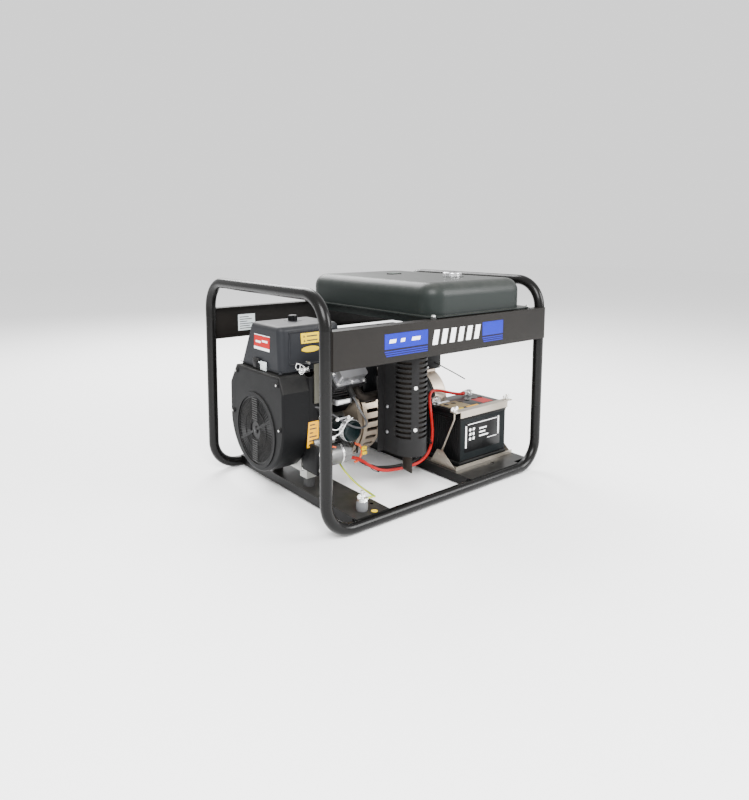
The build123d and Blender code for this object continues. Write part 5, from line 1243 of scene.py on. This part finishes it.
@dataclass
class Exhaust(SubAssembly):
    """Muffler and its slotted guard."""

    finishes: ClassVar[dict[str, Finish]] = {"muffler": KIT.exhaust, "muffler_guard": KIT.guard}
    centre: tuple = (-0.090, -0.262)
    guard_r: float = 0.0513
    roll_r: float = 0.0012

    def add_pieces(self) -> None:
        """Adds the guard's rolled ends, its screws, the spring, the stay and the tailpipe's band."""
        x, y = self.centre
        low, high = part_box("muffler_guard")
        rolled = Shape()
        for z in (low[2] + self.roll_r, high[2] - self.roll_r):
            arc = [Vector((x + self.guard_r * math.cos(a), y + self.guard_r * math.sin(a), z))
                   for a in spaced(180, 7.5, 25)]
            rolled.sweep(arc, self.roll_r, 8, 1)
        rolled.finished("guard_rolled_ends", KIT.guard)
        spots = [(mm(-142, -219, z), LEFT) for z in (296, 217)]
        self.repeater.lay("guard_screws", Spread.POINTS, pan_head(0.0062, 0.0045), KIT.rocker, spots=spots)
        coil = [mm(-30 + 4 * math.cos(k * 0.9), -256 + 4 * math.sin(k * 0.9), 436 - k * 0.62)
                for k in range(62)]
        Shape().sweep(coil, 0.0009, 6, 1).finished("exhaust_spring", KIT.zinc)
        stay = Shape().rod(mm(-35, -246, 178), mm(-35, -246, 222), 0.0052, bevel=0.001)
        stay.finished("guard_stay", KIT.guard)
        support = Shape().block(mm(-80, -258, 140), mm(-70, -252, 168), 0.001)
        support.finished("tailpipe_support", KIT.exhaust)
        band = [(0.0, 0.0151), (0.0, 0.0175), (0.008, 0.0175), (0.008, 0.0151)]
        Shape().lathe(mm(-97, -262, 142), UP, band).finished("tailpipe_band", KIT.exhaust)


@dataclass
class Alternator(SubAssembly):
    """Bell housing, shell, bracket and terminal box."""

    finishes: ClassVar[dict[str, Finish]] = {
        "bell_housing": KIT.bell, "alternator_shell": KIT.shroud, "stator": KIT.core,
        "rotor": KIT.core, "rear_bracket": KIT.bracket, "terminal_box": KIT.shroud,
    }
    axis: tuple = SHAFT_YZ
    box_face: float = -20.0

    def add_pieces(self) -> None:
        """Adds the bell's bolts, then the shell's, the terminal box's and the bracket's pieces."""
        self.add_bolt_ring("bell_bolts", -60.2, 118, spaced(22.5, 45, 8), hex_head(0.0052, 0.007))
        self.add_shell_trim()
        self.add_terminal_box()
        self.add_bolt_ring("bracket_through_bolts", 290, 84, spaced(45, 90, 4), hex_head(0.006, 0.008))

    def add_bolt_ring(self, name: str, x: float, radius: float, angles: Sequence[float],
                      bolt: Shape) -> None:
        """Ring of bolts round the shaft's line, their heads to the right.

        Args:
            name: the piece's name.
            x: where their heads sit, in millimetres.
            radius: of the ring, in millimetres.
            angles: in radians from the back.
            bolt: one bolt.
        """
        y, z = self.axis
        spots = [(mm(x, y + radius * math.cos(a), z + radius * math.sin(a)), RIGHT) for a in angles]
        self.repeater.lay(name, Spread.POINTS, bolt, KIT.zinc, spots=spots)

    def add_shell_trim(self) -> None:
        """Bands round the shell and ribs along it."""
        y, z = self.axis
        band = [(0.0, 0.1078), (0.0, 0.1096), (0.004, 0.1103), (0.008, 0.1096), (0.008, 0.1078)]
        shell = Shape()
        for x in (-40, 4, 178, 214):
            shell.lathe(mm(x, y, z), RIGHT, band, 72)
        shell.finished("shell_bands", KIT.shroud)
        stay = Shape().block(mm(-2, -3, -84), mm(3, 3, 84), 0.001, 1)
        self.repeater.lay("shell_ribs", Spread.RING, stay, KIT.shroud, Count=20, Radius=0.1075,
                          Start=mm(92, y, z), Turn=turned_to(RIGHT))

    def add_terminal_box(self) -> None:
        """Screws and lid of the terminal box, and the rod that runs down from it."""
        places = [(x, z) for x in (229, 289) for z in (336, 426)] + [(229, 381), (289, 381)]
        spots = [(mm(x, self.box_face, z), FRONT) for x, z in places]
        screw = pan_head(0.0036, 0.0025)
        self.repeater.lay("terminal_box_screws", Spread.POINTS, screw, KIT.white, spots=spots)
        lid = Shape().block(mm(224, -21.5, 330), mm(294, -19.5, 432), 0.0008)
        lid.finished("terminal_box_cover", KIT.shroud)
        line = [mm(262, -22, 352), mm(286, -34, 336), mm(334, -50, 308), mm(383, -62, 279)]
        Shape().sweep(line, 0.0022).finished("vent_rod", KIT.black)


@dataclass
class Battery(SubAssembly):
    """Ribbed battery with lid, plugs and labels, its tray, clamp and terminals."""

    finishes: ClassVar[dict[str, Finish]] = {
        "battery_tray": KIT.tray, "battery_clamp": KIT.tray, "battery_nut_left": KIT.zinc,
        "battery_nut_right": KIT.zinc, "battery_terminals": KIT.zinc,
    }
    x: tuple = (160.0, 402.0)
    y: tuple = (-243.0, -68.0)
    base: float = 39.0
    lid: float = 204.0
    top: float = 229.0
    inset: float = 3.0
    rib_z: float = 60.0
    posts: tuple = ((200, -96), (368, -96))

    def add_pieces(self) -> None:
        """Builds the case, the ribs, the lid and everything on it."""
        (x0, x1), (y0, y1), i = self.x, self.y, self.inset
        case = Shape().block(mm(x0, y0, self.base), mm(x1, y1, self.base + 16), 0.002)
        case.block(mm(x0 + i, y0 + i, self.base + 14), mm(x1 - i, y1 - i, self.lid + 1), 0.003)
        case.block(mm(x0, y0, self.lid), mm(x1, y1, self.top - 3), 0.003)
        case.block(mm(x0 + 4, y0 + 30, self.top - 4), mm(x1 - 4, y1 - 3, self.top), 0.0015)
        case.block(mm(x0 + 70, y0, self.lid + 3), mm(x1 - 70, y0 + 6, self.lid + 12), 0.002)
        case.finished("battery_body", KIT.case, stands_for=["battery"])
        rib = Shape().block(mm(-1.6, -1.4, 0), mm(1.6, 2.0, 138), 0.0006, 1)
        self.repeater.lay("battery_front_ribs", Spread.ROW, rib, KIT.ribbed, Count=46,
                          Start=mm(x0 + 8, y0 + i, self.rib_z), Step=mm(5.02, 0, 0))
        for name, x in (("left", x0 + i), ("right", x1 - i)):
            rib = Shape().block(mm(-1.7, -2.4, 0), mm(1.7, 2.4, 138), 0.0006, 1)
            self.repeater.lay(f"battery_{name}_ribs", Spread.ROW, rib, KIT.case, Count=16,
                              Start=mm(x, y0 + 14, self.rib_z), Step=mm(0, 9.8, 0))
        self.add_front_label(y0)
        self.add_top(y0)

    def add_front_label(self, face: float) -> None:
        """Dark panel inside a pale frame, with generic signs in place of words."""
        level = face + 1.3
        back = Shape().block(mm(186, level, 84), mm(368, level + 1.5, 186), 0.0006)
        back.finished("battery_label_panel", KIT.case)
        out = mm(0, -0.3, 0)
        frame = Shape()
        for low, high in (((188, 100), (195, 176)), ((355, 120), (362, 184)), ((200, 178), (350, 180.5)),
                          ((300, 116), (350, 118))):
            frame.slab(upright(level, low, high), out)
        for k in range(6):
            x = 212 + (k % 2) * 17
            z = 160 - (k // 2) * 16
            if k in (0, 3, 4):
                corners = [mm(x + 6 * math.cos(a), level, z + 6 * math.sin(a)) for a in spaced(15, 60, 6)]
                frame.slab(corners, out)
            else:
                frame.slab(upright(level, (x - 5, z - 4), (x + 5, z + 5), 2), out)
        for k, length in enumerate((46, 30, 38)):
            frame.slab(upright(level, (258, 128 + k * 13), (258 + length, 133 + k * 13), 1), out)
        frame.finished("battery_label_frame", KIT.white)

    def add_top(self, face: float) -> None:
        """Stickers, vent plugs, plug strip and tapered posts on the lid."""
        top = self.top
        up = mm(0, 0, 0.3)

        def patch(name: str, finish: Finish, low: tuple, high: tuple) -> None:
            """One flat sticker on the lid."""
            (x0, y0), (x1, y1) = low, high
            corners = [mm(x0, y0, top), mm(x1, y0, top), mm(x1, y1, top), mm(x0, y1, top)]
            face_label(name, finish, corners, up)

        patch("battery_tan_patch", KIT.tan, (176, -200), (262, -126))
        patch("battery_yellow_strip", KIT.yellow, (176, -212), (214, -202))
        patch("battery_amber_strip", KIT.amber, (232, -212), (290, -202))
        patch("battery_red_patch", KIT.crimson, (318, -206), (372, -150))
        patch("battery_grey_patch", KIT.silver, (186, -122), (240, -108))
        plug = Shape().rod(Vector(), mm(0, 0, 1.6), 0.0095, sides=24, bevel=0.0006)
        plug.block(mm(-6, -1.2, 1.4), mm(6, 1.2, 2.4), 0.0003)
        self.repeater.lay("battery_plugs", Spread.ROW, plug, KIT.case, Count=6,
                          Start=mm(196, -146, top - 0.2), Step=mm(35, 0, 0))
        taper = [(0.0, 0.0005), (0.0, 0.0125), (0.003, 0.0115), (0.004, 0.0092), (0.0185, 0.0080),
                 (0.0190, 0.0070), (0.0190, 0.0005)]
        posts = Shape()
        for x, y in self.posts:
            posts.lathe(mm(x, y, top - 1), UP, taper)
        posts.finished("battery_posts", KIT.lead)
        lip = [mm(self.x[0] + 2, face + 27, top + 0.4), mm(self.x[1] - 2, face + 27, top + 0.4)]
        Shape().sweep(lip, 0.001, 8, 1).finished("battery_lid_lip", KIT.case)
        spots = [(mm(x - 11, y - 7, top + 9), FRONT) for x, y in self.posts]
        self.repeater.lay("terminal_bolts", Spread.POINTS, hex_head(0.0042, 0.0065), KIT.zinc, spots=spots)


@dataclass
class Controls(SubAssembly):
    """Control box on the back with its panel."""

    finishes: ClassVar[dict[str, Finish]] = {
        "control_box": KIT.shroud, "control_panel": KIT.panel, "panel_sockets": KIT.socket,
        "socket_lid": KIT.socket, "current_knob": KIT.knob, "ignition_key": KIT.zinc,
        "breaker_lever": KIT.knob,
    }
    face: float = 319.0
    mains_sockets: tuple = (250, 315)
    weld_sockets: tuple = (-10, 80)

    def add_pieces(self) -> None:
        """Adds dial ticks, screws, vents and blank labels."""
        tick = Shape().block(mm(-4, -0.7, -0.1), mm(4, 0.7, 0.3))
        self.repeater.lay("dial_ticks", Spread.RING, tick, KIT.white, Count=24, Radius=0.036,
                          Start=mm(150, self.face, 388), Turn=turned_to(BACK))
        spots = [(mm(x, self.face, z), BACK) for x in (-52, 150, 352) for z in (118, 447)]
        self.repeater.lay("panel_screws", Spread.POINTS, pan_head(0.0045, 0.003), KIT.zinc, spots=spots)
        spots = [(mm(x + side, self.face + 10, 213), BACK) for x in self.mains_sockets for side in (-22, 22)]
        self.repeater.lay("socket_screws", Spread.POINTS, pan_head(0.003, 0.0015), KIT.zinc, spots=spots)
        for name, x in (("left", -60.0), ("right", 361.0)):
            slot = Shape().block(mm(-1.2, -30, -2.6), mm(0.8, 30, 2.6), 0.0008, 1)
            self.repeater.lay(f"box_vents_{name}", Spread.ROW, slot, KIT.shroud, Count=9,
                              Start=mm(x, 262, 200), Step=mm(0, 0, 14))
        glass = Shape().block(mm(245, self.face + 4, 372), mm(325, self.face + 5.6, 412), 0.0008)
        glass.finished("display_window", KIT.screen)
        rows = Shape()
        lift = mm(0, 0.3, 0)
        for (x, z), length in (((150, 336), 60), ((10, 350), 34), ((10, 272), 44), ((285, 356), 70),
                               ((-10, 135), 28), ((80, 135), 28)):
            rows.slab(upright(self.face, (x - length / 2, z), (x + length / 2, z + 4)), lift)
        rows.finished("panel_rows", KIT.white)
        rings = Shape()
        ring = [(0.0136, 0.0122), (0.0136, 0.0180), (0.0146, 0.0175), (0.0146, 0.0122)]
        for x in self.weld_sockets:
            rings.lathe(mm(x, self.face, 165), BACK, ring)
        rings.finished("weld_socket_rings", KIT.steel)


# ---------------------------------------------------------------- cords
@dataclass(frozen=True)
class Cord:
    """One cable: its route in millimetres, diameter, real length and how it lies."""

    name: str
    finish: Finish
    diameter: float
    length: float
    stiffness: str
    route: tuple = field(repr=False)

    def build(self) -> bpy.types.Object:
        data = bpy.data.curves.new(self.name + "_sheath", "CURVE")
        data.dimensions = "3D"
        data.bevel_depth = self.diameter / 2
        data.bevel_resolution = 5
        data.resolution_u = 10
        data.use_fill_caps = True
        line = data.splines.new("NURBS")
        line.points.add(len(self.route) - 1)
        for point, place in zip(line.points, self.route):
            point.co = (*mm(*place), 1.0)
        line.order_u = 3
        line.use_endpoint_u = True
        cable = bpy.data.objects.new(self.name + "_sheath", data)
        bpy.context.scene.collection.objects.link(cable)
        dress(cable, self.finish)
        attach(cable, "frame")
        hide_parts(self.name)
        LOG.info("%s: cord of %.3f m", cable.name, self.length)
        return cable


CORDS = (
    Cord("red_cable", KIT.red, 0.010, 0.752, "medium", (
        (-215, -114.14, 119), (-191, -114.14, 119), (-160, -121, 102), (-126, -126, 74), (-82, -132, 52),
        (-28, -146, 50), (28, -151, 50), (80, -152, 58), (113, -153, 88), (124, -153, 142), (124, -146, 194),
        (129, -132, 236), (148, -110, 264), (184, -88, 270), (228, -75, 262), (272, -78, 249),
        (300, -88, 241), (320, -96, 238), (339, -96, 238),
    )),
    Cord("black_cable", KIT.black, 0.011, 0.536, "medium", (
        (-200, -76.14, 107), (-180, -76.14, 107), (-150, -82, 95), (-120, -90, 71), (-78, -102, 52),
        (-20, -122, 50), (40, -131, 50), (82, -133, 60), (104, -134, 92), (109, -132, 146), (108, -121, 192),
        (114, -108, 222), (130, -98, 236), (150, -96, 238), (171, -96, 238),
    )),
    Cord("earth_wire", KIT.earth, 0.006, 0.278, "limp", (
        (-228, -68.14, 102), (-228, -88.14, 102), (-227, -108, 86), (-223, -136, 68), (-218, -170, 52),
        (-214, -208, 44), (-220, -246, 44), (-236, -274, 54), (-258, -292, 67.5), (-281, -292, 67.5),
    )),
    Cord("ignition_lead", KIT.grey, 0.0065, 0.328, "limp", (
        (-250, -188.35, 337.21), (-250, -202.35, 323.21), (-243, -214, 298), (-222, -213, 270),
        (-204, -198, 244), (-206, -174, 229), (-228, -159, 234), (-256, -150, 252),
        (-286, -137, 277), (-314, -121, 298), (-338, -110, 305), (-358, -110, 305),
    )),
)


def add_cable_ties() -> None:
    """Ties that hold the two heavy cables together, and the sleeves on their lugs."""
    ties = Shape()
    for x, y, z in ((-100, -110, 60), (106, -142, 120)):
        loop = [mm(x, y + 21 * math.cos(a), z + 9 * math.sin(a)) for a in spaced(0, 22.5, 17)]
        ties.sweep(loop, 0.0013, 6, 1)
        ties.block(mm(x - 3, y - 23, z - 7), mm(x + 3, y - 18, z - 1), 0.0006)
    ties.finished("cable_ties", KIT.black)
    for name, finish, start, end, radius in (
        ("red_boot", KIT.red, mm(326, -96, 238), mm(340, -96, 238), 0.0064),
        ("black_boot", KIT.black, mm(157, -96, 238), mm(172, -96, 238), 0.0068),
        ("starter_boot", KIT.red, mm(-216, -114.14, 119), mm(-202, -114.14, 119), 0.0064),
    ):
        Shape().rod(start, end, radius, sides=24, bevel=0.001).finished(name, finish)


# ---------------------------------------------------------------- studio
@dataclass
class Studio:
    """Pale floor, soft lights and the camera."""

    place: tuple = (-1.3865, -1.6228, 0.8111)
    turn: tuple = (83.57, 0.0, -37.93)
    sensor: float = 36.0
    lens: float = 28.395
    shift: tuple = (0.032675, -0.1161625)
    clip: float = 0.05
    sky: float = 1.35
    floor_size: float = 14.0
    lights: tuple = (
        ("key", (-2.0, -2.2, 2.7), 2.0, 330.0),
        ("fill", (1.9, -2.6, 1.6), 1.6, 170.0),
        ("back", (0.6, 2.4, 2.8), 2.2, 260.0),
    )

    def build(self) -> None:
        """Sets the camera, the floor, the world and the lights."""
        data = bpy.data.cameras.new("camera")
        data.sensor_width = self.sensor
        data.lens = self.lens
        data.shift_x, data.shift_y = self.shift
        data.clip_start = self.clip
        camera = bpy.data.objects.new("camera", data)
        camera.location = self.place
        camera.rotation_euler = [math.radians(part) for part in self.turn]
        bpy.context.scene.collection.objects.link(camera)
        bpy.context.scene.camera = camera
        self.add_floor()
        world = bpy.data.worlds.new("studio")
        world.use_nodes = True
        sky = world.node_tree.nodes["Background"]
        sky.inputs["Color"].default_value = (1.0, 1.0, 1.0, 1)
        sky.inputs["Strength"].default_value = self.sky
        bpy.context.scene.world = world
        for light in self.lights:
            self.add_light(*light)

    def add_floor(self) -> None:
        """Plain pale floor."""
        shape = Shape()
        bmesh.ops.create_grid(shape.bm, x_segments=1, y_segments=1, size=self.floor_size)
        mesh = bpy.data.meshes.new("floor")
        shape.bm.to_mesh(mesh)
        shape.bm.free()
        floor = bpy.data.objects.new("floor", mesh)
        bpy.context.scene.collection.objects.link(floor)
        made = bpy.data.materials.new("floor_white")
        made.use_nodes = True
        shader = made.node_tree.nodes["Principled BSDF"]
        shader.inputs["Base Color"].default_value = (0.97, 0.97, 0.97, 1)
        shader.inputs["Roughness"].default_value = 0.8
        mesh.materials.append(made)

    @staticmethod
    def add_light(name: str, place: tuple, size: float, power: float) -> None:
        """Soft square light aimed at the middle of the set."""
        data = bpy.data.lights.new(name, "AREA")
        data.size = size
        data.energy = power
        light = bpy.data.objects.new(name, data)
        light.location = place
        aim = Vector((0, 0, 0.3)) - Vector(place)
        light.rotation_euler = aim.to_track_quat("-Z", "Y").to_euler()
        bpy.context.scene.collection.objects.link(light)


def main() -> None:
    """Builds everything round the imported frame."""
    logging.basicConfig(level=logging.INFO, format="%(name)s %(message)s")
    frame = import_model()
    Studio().build()
    GROUPS.append(ShaderGroups())
    repeater = Repeater()
    for cord in CORDS:
        cord.build()
    add_cable_ties()
    for kind in (FrameWork, Tank, Engine, Exhaust, Alternator, Battery, Controls):
        kind(frame["nodes"], repeater).build()


if __name__ == "__main__":
    main()
